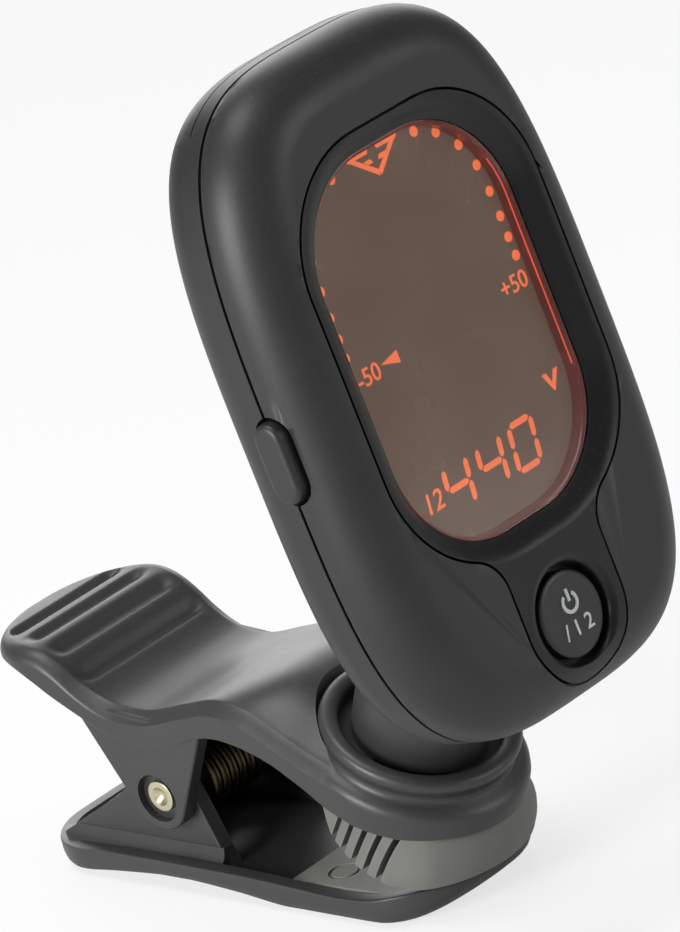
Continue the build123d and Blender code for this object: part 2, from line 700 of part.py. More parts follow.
with BuildPart() as rear_shell:
    add(rear_full.part)
    head_block(0, cover_low + cover_h / 2 - slip_gap, 2 * (cover_half_w + slip_gap),
               cover_h, cover_split - slip_gap, head_t + 1, Mode.SUBTRACT)
    for x, v, seat in boss_spots:
        if v > cover_low:
            # free-standing boss, held by a rib to the end wall
            rib_h = head_top - shell_wall - v
            head_disc(x, v, boss_r, seat, boss_end)
            head_block(x, v + rib_h / 2, shell_wall, rib_h, cover_split - slip_gap,
                       boss_end)
        else:
            head_disc(x, v, boss_foot_r, rear_in + 0.2, boss_end)
            head_disc(x, v, case_head_r + slip_gap, head_t + 1, seat, Mode.SUBTRACT)
        head_disc(x, v, boss_bore_r, head_t + 1, seam, Mode.SUBTRACT)
    slot_cut = Plane(origin=slot, x_dir=tuple(face_up), z_dir=(-1, 0, 0))
    with BuildSketch(slot_cut):
        SlotOverall(side_slot_len, side_slot_w)
    extrude(amount=6, both=True, mode=Mode.SUBTRACT)
    # lugs of the tilt hinge
    lug_in = tongue_half_w + friction_t
    for side in (1, -1):
        with BuildSketch(head_side_plane(side * (lug_in + lug_t / 2))):
            with Locations((hinge_d, hinge_v)):
                Circle(lug_r)
            with Locations((-rear_in - 0.6, hinge_v + 5.5), (-rear_in - 0.6, hinge_v - 2)):
                Circle(0.4)
            make_hull()
        extrude(amount=lug_t / 2, both=True)
    with BuildSketch(head_side_plane(0)):
        with Locations((hinge_d, hinge_v)):
            Circle(tilt_screw_r)
    extrude(amount=lug_in + lug_t, both=True, mode=Mode.SUBTRACT)
save(rear_shell.part, "rear_shell")

# ---------------------------------------------------------------- bezel and display
with BuildPart() as face_bezel:
    # flange behind the face, kept inside the walls of the front shell
    extrude(keyhole(bezel_flange_w, lens_at), amount=bezel_flange_t)
    extrude(head_outline(shell_wall + slip_gap, lens_at + 1), amount=3,
            mode=Mode.INTERSECT)
    extrude(keyhole(0, face_t), amount=face_t)
    add(front_blank.part, mode=Mode.INTERSECT)
    # dished surface that falls to the window
    dish = window(dish_flare, 0)
    extrude(dish, amount=-dish_depth, taper=degrees(atan2(dish_flare, dish_depth)),
            mode=Mode.SUBTRACT)
    extrude(window(0, 0), amount=-lens_at, mode=Mode.SUBTRACT)
    head_disc(0, 0, button_hole_r, lens_at, -0.5, Mode.SUBTRACT)
save(face_bezel.part, "face_bezel")

with BuildPart() as display_lens:
    extrude(window(lens_over, lcd_at), amount=lens_t)
save(display_lens.part, "display_lens")

with BuildPart() as lcd_panel:
    extrude(window(lcd_over, light_at), amount=lcd_t)
save(lcd_panel.part, "lcd_panel")

with BuildPart() as backlight:
    extrude(window(lcd_over, board_at), amount=light_t)
    head_block(0, window_low - 3 + (light_low - window_low + 3) / 2, 40,
               light_low - window_low + 3, board_at + 0.5, light_at - 0.5,
               Mode.SUBTRACT)
save(backlight.part, "backlight")

with BuildPart() as zebra_strip:
    head_block(0, light_low - slip_gap - zebra_w / 2, 2 * zebra_half_l, zebra_w,
               board_at, light_at)
save(zebra_strip.part, "zebra_strip")

# ---------------------------------------------------------------- electronics
switch_side_x = head_half_w - board_inset - side_switch_t - 0.8
with BuildPart() as circuit_board:
    extrude(head_outline(board_inset, board_back), amount=board_t)
    for x, v, seat in boss_spots:
        head_disc(x, v, boss_r + slip_gap, board_back + 1, board_at - 1, Mode.SUBTRACT)
    # notch for the side switch
    head_block(-head_half_w, side_v, 2 * (head_half_w - switch_side_x),
               side_switch_len + 0.4, board_back + 1, board_at - 1, Mode.SUBTRACT)
save(circuit_board.part, "circuit_board")

with BuildPart() as controller_chip:
    head_block(0, chip_v, chip_side, chip_side, board_back + chip_t, board_back)
save(controller_chip.part, "controller_chip")

with BuildPart() as mode_switch:
    head_block(0, 0, 2 * switch_half, 2 * switch_half, board_at, board_at - switch_t)
    head_disc(0, 0, switch_knob_r, board_at, board_at - switch_t - switch_knob_h)
save(mode_switch.part, "mode_switch")

with BuildPart() as side_switch:
    head_block(-switch_side_x - side_switch_t / 2, side_v, side_switch_t,
               side_switch_len, seam + side_switch_w / 2, seam - side_switch_w / 2)
    knob = HEAD.from_local_coords((-switch_side_x - side_switch_t, side_v, -seam))
    with BuildSketch(Plane(origin=knob, x_dir=tuple(face_up), z_dir=(-1, 0, 0))):
        Circle(0.6)
    extrude(amount=switch_knob_h)
save(side_switch.part, "side_switch")

with BuildPart() as piezo_disc:
    head_disc(0, piezo_v, piezo_r, rear_in, rear_in - piezo_t)
save(piezo_disc.part, "piezo_disc")

cell_front = board_back + 2 * contact_t
with BuildPart() as coin_cell:
    head_disc(0, cell_v, cell_r, cell_front + cell_t, cell_front)
    fillet(coin_cell.edges(), 0.3)
save(coin_cell.part, "coin_cell")

with BuildPart() as negative_contact:
    head_block(0, cell_v, 2 * minus_half_l, contact_w, board_back + contact_t, board_back)
    head_disc(0, cell_v, minus_pip_r, cell_front, board_back)
save(negative_contact.part, "negative_contact")

with BuildPart() as positive_contact:
    foot_x = cell_r + plus_foot_l / 2
    head_block(foot_x, cell_v, plus_foot_l, contact_w, board_back + contact_t, board_back)
    head_block(cell_r + contact_t / 2, cell_v, contact_t, contact_w,
               cell_front + cell_t * 0.8, board_back)
save(positive_contact.part, "positive_contact")

# ---------------------------------------------------------------- buttons
with BuildPart() as mode_button:
    head_disc(0, 0, button_r, lens_at + 0.1, button_drop)
    top_rim = mode_button.edges().sort_by(
        lambda e: HEAD.to_local_coords(e.center()).Z)[-1]
    fillet(top_rim, 0.35)
    flange_at = lens_at + switch_gap
    head_disc(0, 0, button_flange_r, flange_at + button_flange_t, flange_at)
    head_disc(0, 0, button_stem_r,
              board_at - switch_t - switch_knob_h - button_travel - switch_gap,
              flange_at)
save(mode_button.part, "mode_button")

side_plane_at = HEAD.from_local_coords((-head_half_w, side_v, -seam))
SIDE_KEY = Plane(origin=side_plane_at, x_dir=tuple(face_up), z_dir=(-1, 0, 0))
flange_x = shell_wall + switch_gap
with BuildPart() as side_button:
    with BuildSketch(SIDE_KEY.offset(-flange_x)):
        SlotOverall(side_len, side_w)
    extrude(amount=flange_x + side_proud)
    side_rim = side_button.faces().sort_by(Axis.X)[0].edges()
    fillet(side_rim, 0.5)
    with BuildSketch(SIDE_KEY.offset(-flange_x)):
        SlotOverall(side_len + 2 * side_flange_over, side_w + 2 * side_flange_over)
    extrude(amount=-side_flange_t)
    stem_end = (head_half_w - switch_side_x - side_switch_t - switch_knob_h
                - side_travel - switch_gap)
    with BuildSketch(SIDE_KEY.offset(-flange_x)):
        Circle(side_stem_r)
    extrude(amount=flange_x - stem_end)
save(side_button.part, "side_button")

# ---------------------------------------------------------------- fasteners
with BuildPart() as case_screws:
    for x, v, seat in boss_spots:
        head_disc(x, v, case_head_r, seat + case_head_t, seat)
        head_disc(x, v, case_screw_r, seat, seat - case_screw_l)
        for w, h in ((0.4, 2.0), (2.0, 0.4)):
            head_block(x, v, w, h, seat + case_head_t, seat + case_head_t - 0.35,
                       Mode.SUBTRACT)
save(case_screws.part, "case_screws")

lug_out = lug_in + lug_t
with BuildPart() as tilt_screw:
    with BuildSketch(head_side_plane(lug_out)):
        with Locations((hinge_d, hinge_v)):
            Circle(tilt_screw_r)
    extrude(amount=2 * lug_out + nut_t)
    with BuildSketch(head_side_plane(lug_out + tilt_head_t)):
        with Locations((hinge_d, hinge_v)):
            Circle(tilt_head_r)
    extrude(amount=tilt_head_t)
save(tilt_screw.part, "tilt_screw")

with BuildPart() as tilt_nut:
    with BuildSketch(head_side_plane(-lug_out)):
        with Locations((hinge_d, hinge_v)):
            RegularPolygon(nut_flats / 2, 6, major_radius=False)
            Circle(tilt_screw_r, mode=Mode.SUBTRACT)
    extrude(amount=nut_t)
save(tilt_nut.part, "tilt_nut")

with BuildPart() as friction_washers:
    for x in (tongue_half_w + friction_t, -tongue_half_w):
        with BuildSketch(head_side_plane(x)):
            with Locations((hinge_d, hinge_v)):
                Circle(friction_r)
                Circle(tilt_screw_r, mode=Mode.SUBTRACT)
        extrude(amount=friction_t)
save(friction_washers.part, "friction_washers")
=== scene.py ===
from math import atan2, cos, pi, radians, sin, sqrt

import bmesh
import bpy
from bpy.props import FloatProperty, FloatVectorProperty, IntProperty, PointerProperty
from bpy.types import Operator, Panel, PropertyGroup
from mathutils import Matrix, Vector


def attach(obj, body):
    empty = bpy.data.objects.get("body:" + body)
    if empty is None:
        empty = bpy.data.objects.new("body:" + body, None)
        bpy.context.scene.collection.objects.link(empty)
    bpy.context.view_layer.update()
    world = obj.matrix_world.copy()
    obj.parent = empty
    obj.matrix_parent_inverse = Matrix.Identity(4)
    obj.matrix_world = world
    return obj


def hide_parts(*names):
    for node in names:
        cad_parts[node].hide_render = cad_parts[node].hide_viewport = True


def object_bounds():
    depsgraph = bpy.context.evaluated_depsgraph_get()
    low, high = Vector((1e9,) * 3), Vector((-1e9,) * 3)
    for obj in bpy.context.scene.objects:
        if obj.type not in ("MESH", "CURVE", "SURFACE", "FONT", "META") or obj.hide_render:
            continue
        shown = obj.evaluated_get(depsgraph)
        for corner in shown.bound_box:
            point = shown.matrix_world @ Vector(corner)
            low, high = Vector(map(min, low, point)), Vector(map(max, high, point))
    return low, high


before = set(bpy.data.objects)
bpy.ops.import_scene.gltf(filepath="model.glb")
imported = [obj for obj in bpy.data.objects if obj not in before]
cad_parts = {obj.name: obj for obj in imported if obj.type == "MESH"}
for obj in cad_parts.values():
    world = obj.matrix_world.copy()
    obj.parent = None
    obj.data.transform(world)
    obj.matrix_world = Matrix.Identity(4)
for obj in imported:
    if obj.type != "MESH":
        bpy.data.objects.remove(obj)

bl_info = {
    "name": "Clip-on instrument tuner",
    "version": (1, 0, 0),
    "blender": (4, 5, 0),
    "location": "View3D > Sidebar > Tuner",
    "description": "Builds a clip-on tuner: sprung clip, turning post, tilting display head",
    "category": "Object",
}

CAD_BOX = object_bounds()
MILLI = 0.001


# ---------------------------------------------------------------- settings
def size(name, default, description):
    """A length setting, in metres."""
    return FloatProperty(name=name, description=description, default=default, min=0.0,
                         unit="LENGTH", precision=5)


def colour(name, default, description):
    """A colour setting, linear RGB."""
    return FloatVectorProperty(name=name, description=description, default=default,
                               min=0.0, max=1.0, size=3, subtype="COLOR")


class TunerCase(PropertyGroup):
    """Sizes of the display head"""
    half_width: size("Half width", 0.0191, "Half the width of the head")
    half_height: size("Half height", 0.03025, "Half the height of the head")
    centre: size("Centre", 0.0226, "Height of the middle of the head above the mode button")
    thickness: size("Thickness", 0.0125, "Front face to rear face")
    seam: size("Seam depth", 0.0055, "Front face to the line between the two shells")
    gap: size("Seam gap", 0.00035, "Open line between the two shells")
    front_round: size("Front rounding", 0.005, "Radius round the front face")
    rear_round: size("Rear rounding", 0.0048, "Radius round the rear face")
    wall: size("Wall", 0.0015, "Wall thickness of the shells")
    groove: size("Groove", 0.00025, "Open line round the bezel")
    squareness: FloatProperty(name="Squareness", description="Power of the outline curve, "
                              "2 is an ellipse", default=3.45, min=2.0, max=8.0)


class TunerClip(PropertyGroup):
    """Sizes of the clip"""
    upper_half: size("Upper half width", 0.0094, "Half width of the upper arm at the pin")
    thumb_half: size("Thumb half width", 0.0102, "Half width of the upper arm at its end")
    lower_half: size("Lower half width", 0.0095, "Half width of the lower arm")
    wall: size("Wall", 0.0016, "Wall thickness of both arms")
    chamfer: size("Chamfer", 0.0014, "Width of the slope beside the upper arm's top")
    pin_height: size("Pin height", 0.0092, "Height of the hinge pin over the table")
    pin_radius: size("Pin radius", 0.0015, "Radius of the hinge pin")
    grooves: IntProperty(name="Thumb grooves", description="Number of thumb grooves",
                         default=4, min=0, max=8)
    ribs: IntProperty(name="Pad grooves", description="Grooves round the upper pad",
                      default=5, min=0, max=8)


class TunerFinish(PropertyGroup):
    """Colours and surface values"""
    case: colour("Housing", (0.015, 0.015, 0.0145), "Plastic of the display head")
    bezel: colour("Bezel", (0.006, 0.006, 0.006), "Plastic of the frame round the display")
    clip: colour("Clip", (0.026, 0.027, 0.0255), "Plastic of the clip and post")
    button: colour("Buttons", (0.011, 0.011, 0.011), "Plastic of the two buttons")
    pad: colour("Upper pad", (0.120, 0.124, 0.110), "Rubber of the upper pad")
    pad_light: colour("Lower pad", (0.19, 0.19, 0.168), "Rubber of the lower pad")
    brass: colour("Pin", (0.60, 0.55, 0.40), "Metal of the hinge pin")
    legend: colour("Legend", (0.50, 0.53, 0.50), "Print on the mode button")
    screen: colour("Screen", (0.165, 0.098, 0.070), "Dark ground of the display")
    marks: colour("Marks", (0.86, 0.165, 0.055), "Lit marks of the display")
    glow: colour("Glow", (0.13, 0.013, 0.006), "Lit edge round the display")
    grain: size("Grain", 0.00011, "Size of the moulded grain")
    floor: colour("Floor", (0.80, 0.80, 0.80), "Floor under the part")


# ---------------------------------------------------------------- places
# everything below is drawn in millimetres, in the frame that each piece names
LEAN = radians(11.66)
COLLAR_LEAN = radians(25.0)
TILT_HEIGHT = 9.0  # tilt axis over the collar's mouth
BUTTON_UP, BUTTON_OUT = 0.7, 17.8  # mode button from the tilt axis
SIDE_KEY_UP, SIDE_KEY_DEEP, HEAD_SIDE = 22.95, 5.5, 19.1  # side button on the head
UP = Vector((0, sin(LEAN), cos(LEAN)))
OUT = Vector((0, -cos(LEAN), sin(LEAN)))
COLLAR_MOUTH = Vector((0, -8.2, 16.0))
COLLAR_AXIS = Vector((0, -sin(COLLAR_LEAN), cos(COLLAR_LEAN)))
TILT_AXIS = COLLAR_MOUTH + COLLAR_AXIS * TILT_HEIGHT
BUTTON_PLACE = TILT_AXIS + UP * BUTTON_UP + OUT * BUTTON_OUT
PIN_Y = 17.5

# room of the battery cover in the rear shell, with its sliding gap
COVER_HALF, COVER_LOW, COVER_FACE, COVER_GAP = 13.6, 21.0, -7.6, 0.12
CASE_SCREW_X, CASE_SCREW_Y = 12.6, 2.6
EAR_X, EAR_WELL_X, INNER_EAR_X = 8.3, 9.1, 6.5  # planes of the hinge ears
EAR_HALF = 0.8  # half the thickness of an ear
COLLAR_TURN, FINE_TURN = 120, 48  # sides of the large and the small turned pieces

# rise of the upper arm's middle: where it starts, its run, half width and height
RISE_FROM, RISE_RUN, RISE_HALF, RISE = 8.5, 8.5, 8.3, 2.4
# thumb grooves: the first one's place, their distance, half width and half depth
THUMB_FIRST, THUMB_PITCH, THUMB_HALF, THUMB_DEPTH = 7.3, 2.9, 1.15, 0.3

# area lamps: name, place, diameter in metres and power in watts
LAMPS = (
    ("Left", (-0.58, 0.06, 0.22), 0.30, 4.2),
    ("Top", (-0.10, 0.10, 0.62), 0.30, 1.7),
    ("Fill", (0.30, -0.50, 0.26), 0.30, 0.9),
    ("Sweep", (1.25, 1.33, 0.45), 1.60, 20.0),
)
LAMP_TARGET = Vector((0, -0.012, 0.035))
SURROUND_STRENGTH = 0.27
FLOOR_GLOW = 0.72  # share of its own light that the floor shows to the camera
CAMERA_PLACE = (-0.35711, -0.38062, 0.23494)
CAMERA_RIGHT = Vector((0.64699, -0.73034, -0.21910))
CAMERA_UP = Vector((0.40620, 0.08695, 0.90964))
CAMERA_BACK = Vector((-0.64529, -0.67753, 0.35291))
CAMERA_LENS, CAMERA_SENSOR = 251.07, 36.0


def axes(origin, x_dir, z_dir):
    """Placing matrix, in metres, of a drawing in millimetres with these axes."""
    x, z = Vector(x_dir).normalized(), Vector(z_dir).normalized()
    y = z.cross(x)
    turn = Matrix((x, y, z)).transposed().to_4x4()
    return (Matrix.Translation(Vector(origin) * MILLI) @ turn
            @ Matrix.Diagonal((MILLI, MILLI, MILLI, 1)))


TABLE = axes((0, 0, 0), (1, 0, 0), (0, 0, 1))
HEAD = axes(BUTTON_PLACE, (1, 0, 0), OUT)
COLLAR = axes(COLLAR_MOUTH, (1, 0, 0), COLLAR_AXIS)
SIDE_KEY = axes(BUTTON_PLACE + Vector((-HEAD_SIDE, 0, 0)) + UP * SIDE_KEY_UP
                - OUT * SIDE_KEY_DEEP, UP, (-1, 0, 0))


def side_view(x):
    """Frame of a side view: x is the front distance from the pin, y the height."""
    return axes((x, PIN_Y, 0), (0, -1, 0), (-1, 0, 0))


def head_side(x):
    """Frame of a side view of the head: x is out of the face, y is up the face."""
    return axes(BUTTON_PLACE + Vector((x, 0, 0)), OUT, (-1, 0, 0))


# ---------------------------------------------------------------- modelling by hand
def free():
    """Leave edit mode and select nothing."""
    if bpy.context.object and bpy.context.object.mode != "OBJECT":
        bpy.ops.object.mode_set(mode="OBJECT")
    bpy.ops.object.select_all(action="DESELECT")


def only(obj):
    """Select and activate this object alone."""
    free()
    obj.select_set(True)
    bpy.context.view_layer.objects.active = obj


def edit(obj, kind="FACE"):
    """Open this object in edit mode with nothing selected."""
    only(obj)
    bpy.ops.object.mode_set(mode="EDIT")
    bpy.ops.mesh.select_mode(type=kind)
    bpy.ops.mesh.select_all(action="DESELECT")


def pick(obj, kind, test):
    """Select the elements of one kind that pass a test, in edit mode."""
    bm = bmesh.from_edit_mesh(obj.data)
    parts = {"VERT": bm.verts, "EDGE": bm.edges, "FACE": bm.faces}[kind]
    chosen = [part for part in parts if test(part)]
    for part in chosen:
        part.select_set(True)
    bmesh.update_edit_mesh(obj.data)
    if not chosen:
        raise RuntimeError(f"nothing to select on {obj.name}")


def pick_flat_side(obj, level):
    """Select the large flat face of a prism at a height, in edit mode."""
    pick(obj, "FACE", lambda f: len(f.verts) > 20
         and abs(f.calc_center_median().z - level) < 0.01)


def newest(name):
    """The object that a primitive operator has just made."""
    obj = bpy.context.object
    obj.name = name
    return obj


def ring(name, points):
    """A circle primitive whose points are moved onto an outline."""
    free()
    bpy.ops.mesh.primitive_circle_add(vertices=len(points), radius=1.0, fill_type="NOTHING")
    obj = newest(name)
    for vertex, point in zip(obj.data.vertices, points):
        vertex.co = point
    return obj


def tower(name, rings, caps=True):
    """A ring extruded through a list of rings, each a list of 3D points."""
    obj = ring(name, rings[0])
    edit(obj, "EDGE")
    if caps:
        bpy.ops.mesh.select_all(action="SELECT")
        bpy.ops.mesh.edge_face_add()
    for level in rings[1:]:
        bpy.ops.mesh.select_mode(type="EDGE")
        bpy.ops.mesh.select_all(action="DESELECT")
        bm = bmesh.from_edit_mesh(obj.data)
        bm.verts.ensure_lookup_table()
        count = len(level)
        last = bm.verts[len(bm.verts) - count:]
        for vertex in last:
            vertex.select_set(True)
        bm.select_flush_mode()
        for edge in bm.edges:
            edge.select_set(all(v.index >= len(bm.verts) - count for v in edge.verts))
        bmesh.update_edit_mesh(obj.data)
        bpy.ops.mesh.extrude_edges_move()
        bm = bmesh.from_edit_mesh(obj.data)
        bm.verts.ensure_lookup_table()
        for vertex, point in zip(bm.verts[len(bm.verts) - count:], level):
            vertex.co = point
        bmesh.update_edit_mesh(obj.data)
    if caps:
        bpy.ops.mesh.edge_face_add()
    tidy(obj)
    return obj


def tidy(obj, merge=0.0005):
    """Merge what coincides and turn the faces outwards."""
    edit(obj, "VERT")
    bpy.ops.mesh.select_all(action="SELECT")
    bpy.ops.mesh.remove_doubles(threshold=merge)
    bpy.ops.mesh.normals_make_consistent(inside=False)
    free()


def flat(points, z):
    """An outline lifted to a height."""
    return [(x, y, z) for x, y in points]


def prism(name, points, low, high):
    """A closed outline extruded from one height to another."""
    return tower(name, [flat(points, low), flat(points, high)])


def circle(x, y, radius, count=FINE_TURN):
    """A round outline about a place."""
    return [(x + radius * cos(2 * pi * i / count), y + radius * sin(2 * pi * i / count))
            for i in range(count)]


def lathe(name, profile, count=96, closed=False):
    """Rings round the Z axis through (radius, height) points."""
    rings = [flat(circle(0, 0, max(r, 0.0), count), z) for r, z in profile]
    if closed:
        rings.append(rings[0])
    return tower(name, rings, caps=not closed)


def block(name, low, high):
    """A cube primitive between two corners."""
    free()
    middle = [(a + b) / 2 for a, b in zip(low, high)]
    bpy.ops.mesh.primitive_cube_add(size=1.0, location=middle)
    obj = newest(name)
    obj.scale = [b - a for a, b in zip(low, high)]
    bpy.ops.object.transform_apply(location=True, rotation=True, scale=True)
    return obj


def arc(x, y, radius, start, end, count):
    """Points of an arc, angles in degrees, both ends included."""
    return [(x + radius * cos(radians(start + (end - start) * i / count)),
             y + radius * sin(radians(start + (end - start) * i / count)))
            for i in range(count + 1)]


def mirrored(right):
    """A right-hand outline, drawn from the top down, closed by its mirror image."""
    left = [(-x, y) for x, y in reversed(right) if x > 1e-6]
    return right + left


def hull(circles, count=20):
    """The outline round some (x, y, radius) circles."""
    points = [p for x, y, r in circles for p in circle(x, y, r, count)]
    points = sorted(set((round(x, 5), round(y, 5)) for x, y in points))

    def half(run):
        chain = []
        for p in run:
            while len(chain) > 1 and (
                (chain[-1][0] - chain[-2][0]) * (p[1] - chain[-2][1])
                - (chain[-1][1] - chain[-2][1]) * (p[0] - chain[-2][0])
            ) <= 1e-9:
                chain.pop()
            chain.append(p)
        return chain[:-1]

    return half(points) + half(points[::-1])


def modify(obj, kind, **values):
    """Add a modifier, set it and apply it."""
    only(obj)
    bpy.ops.object.modifier_add(type=kind)
    modifier = obj.modifiers[-1]
    for key, value in values.items():
        setattr(modifier, key, value)
    bpy.ops.object.modifier_apply(modifier=modifier.name)
    return obj


def combine(obj, other, how="DIFFERENCE"):
    """Cut, join or intersect with another object, which then goes."""
    modify(obj, "BOOLEAN", operation=how, object=other, solver="EXACT")
    bpy.data.objects.remove(other)
    if not len(obj.data.polygons):
        raise RuntimeError(f"{obj.name} has nothing left after {how}")
    return obj


def settled(obj):
    """Put an object's place, turn and scale in its mesh."""
    only(obj)
    bpy.ops.object.transform_apply(location=True, rotation=True, scale=True)
    return obj


def placed(obj, place):
    """Put a drawing in its place."""
    obj.matrix_world = place @ obj.matrix_world
    return settled(obj)


def within(obj, from_place, to_place):
    """Bring a drawing made in one frame into another frame's millimetres."""
    obj.matrix_world = to_place.inverted() @ from_place @ obj.matrix_world
    return settled(obj)


def soften(obj, width, segments=2, limit=30.0):
    """Round the sharp edges a little and shade the rest smooth."""
    modify(obj, "BEVEL", width=width, segments=segments, limit_method="ANGLE",
           angle_limit=radians(limit), use_clamp_overlap=True, miter_outer="MITER_ARC")
    return obj


def shade(obj, limit=40.0):
    """Shade smooth up to an angle, with the large faces kept even."""
    only(obj)
    bpy.ops.object.shade_smooth_by_angle(angle=radians(limit))
    modify(obj, "WEIGHTED_NORMAL", keep_sharp=True, weight=50)
    return obj


def copy_of(obj, name):
    """A copy with a mesh of its own."""
    only(obj)
    bpy.ops.object.duplicate()
    return newest(name)


def joined(objects, name):
    """Several objects made one."""
    free()
    for obj in objects:
        obj.select_set(True)
    bpy.context.view_layer.objects.active = objects[0]
    bpy.ops.object.join()
    return newest(name)


def finish_piece(obj, name, place, body, slot_name, material, *nodes):
    """Place, name, paint and attach a finished piece."""
    placed(obj, place)
    obj.name = name
    obj.data.name = name
    obj.data.materials.clear()
    obj.data.materials.append(material)
    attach(obj, body)
    if nodes:
        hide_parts(*nodes)
    return obj


def curve_through(points):
    """A smooth function of one value through (value, result) points."""
    xs = [p[0] for p in points]
    ys = [p[1] for p in points]
    slopes = []
    for i in range(len(xs)):
        a, b = max(i - 1, 0), min(i + 1, len(xs) - 1)
        slopes.append((ys[b] - ys[a]) / (xs[b] - xs[a]))

    def at(x):
        if x <= xs[0]:
            return ys[0] + (x - xs[0]) * slopes[0]
        if x >= xs[-1]:
            return ys[-1] + (x - xs[-1]) * slopes[-1]
        i = max(k for k in range(len(xs) - 1) if xs[k] <= x)
        step = xs[i + 1] - xs[i]
        t = (x - xs[i]) / step
        return ((2 * t ** 3 - 3 * t ** 2 + 1) * ys[i]
                + (t ** 3 - 2 * t ** 2 + t) * step * slopes[i]
                + (3 * t ** 2 - 2 * t ** 3) * ys[i + 1]
                + (t ** 3 - t ** 2) * step * slopes[i + 1])

    return at


def skin(name, rows, columns, height, rings):
    """A grid whose border is extruded through rings.

    rows(inset) gives (front distance, half width) for each row; height(h, x) is the
    grid's own height, and each ring is (inset, height function of the front distance).
    The grid lies at the first ring's inset."""
    plan = rows(rings[0][0])
    free()
    bpy.ops.mesh.primitive_grid_add(x_subdivisions=len(columns) - 1,
                                    y_subdivisions=len(plan) - 1, size=2.0)
    obj = newest(name)
    spots = {}
    for index, vertex in enumerate(obj.data.vertices):
        row, col = divmod(index, len(columns))
        h, half = plan[row]
        x = columns[col] * half
        vertex.co = (x, PIN_Y - h, height(h, x))
        if row in (0, len(plan) - 1) or col in (0, len(columns) - 1):
            spots[tuple(round(c, 4) for c in vertex.co)] = (row, col)
    for inset, rise in rings[1:]:
        plan = rows(inset)
        edit(obj, "EDGE")
        pick(obj, "EDGE", lambda e: e.is_boundary)
        bpy.ops.mesh.extrude_edges_move()
        bm = bmesh.from_edit_mesh(obj.data)
        moved = {}
        for vertex in [v for v in bm.verts if v.select]:
            row, col = spots[tuple(round(c, 4) for c in vertex.co)]
            h, half = plan[row]
            vertex.co = (columns[col] * half, PIN_Y - h, rise(h))
            moved[tuple(round(c, 4) for c in vertex.co)] = (row, col)
        bmesh.update_edit_mesh(obj.data)
        spots = moved
    free()
    return obj


# ---------------------------------------------------------------- finishes
def shader_group(name, inputs, outputs):
    """A new node group with these sockets, and its two ends."""
    tree = bpy.data.node_groups.new(name, "ShaderNodeTree")
    for label, kind, default in inputs:
        socket = tree.interface.new_socket(name=label, in_out="INPUT", socket_type=kind)
        socket.default_value = default
    for label, kind in outputs:
        tree.interface.new_socket(name=label, in_out="OUTPUT", socket_type=kind)
    return tree, tree.nodes.new("NodeGroupInput"), tree.nodes.new("NodeGroupOutput")


def node(tree, kind, place, **values):
    """A node at a place in the tree, its properties and its unlinked inputs set."""
    made = tree.nodes.new(kind)
    made.location = place
    for key, value in values.items():
        if hasattr(made, key):
            setattr(made, key, value)
        else:
            made.inputs[key.replace("_", " ")].default_value = value
    return made


def link(tree, start, output, end, into):
    """Join one node's output to another's input."""
    tree.links.new(start.outputs[output], end.inputs[into])


def noise_on_piece(tree, place, **values):
    """Noise on the piece's own coordinates."""
    spot = node(tree, "ShaderNodeTexCoord", (place[0] - 220, place[1]))
    noise = node(tree, "ShaderNodeTexNoise", place, **values)
    link(tree, spot, "Object", noise, "Vector")
    return noise


def grain_group():
    """Fine moulded grain: a height, and a slow mottling of tone."""
    tree, start, end = shader_group(
        "Moulded grain",
        [("Size", "NodeSocketFloat", 0.0001), ("Patches", "NodeSocketFloat", 140.0)],
        [("Height", "NodeSocketFloat"), ("Tone", "NodeSocketFloat")],
    )
    place = node(tree, "ShaderNodeTexCoord", (-800, 0))
    count = node(tree, "ShaderNodeMath", (-800, 260), operation="DIVIDE")
    count.inputs[0].default_value = 1.0
    link(tree, start, "Size", count, 1)
    pores = node(tree, "ShaderNodeTexVoronoi", (-560, 240), feature="SMOOTH_F1", Smoothness=0.6)
    link(tree, place, "Object", pores, "Vector")
    link(tree, count, 0, pores, "Scale")
    rough = node(tree, "ShaderNodeTexNoise", (-560, 0), Detail=3.0, Roughness=0.55)
    link(tree, place, "Object", rough, "Vector")
    link(tree, count, 0, rough, "Scale")
    both = node(tree, "ShaderNodeMath", (-320, 120), operation="MULTIPLY_ADD")
    both.inputs[1].default_value = 0.6
    link(tree, pores, "Distance", both, 0)
    link(tree, rough, "Fac", both, 2)
    link(tree, both, 0, end, "Height")
    patch = node(tree, "ShaderNodeTexNoise", (-560, -260), Detail=2.0, Roughness=0.5)
    link(tree, place, "Object", patch, "Vector")
    link(tree, start, "Patches", patch, "Scale")
    link(tree, patch, "Fac", end, "Tone")
    return tree


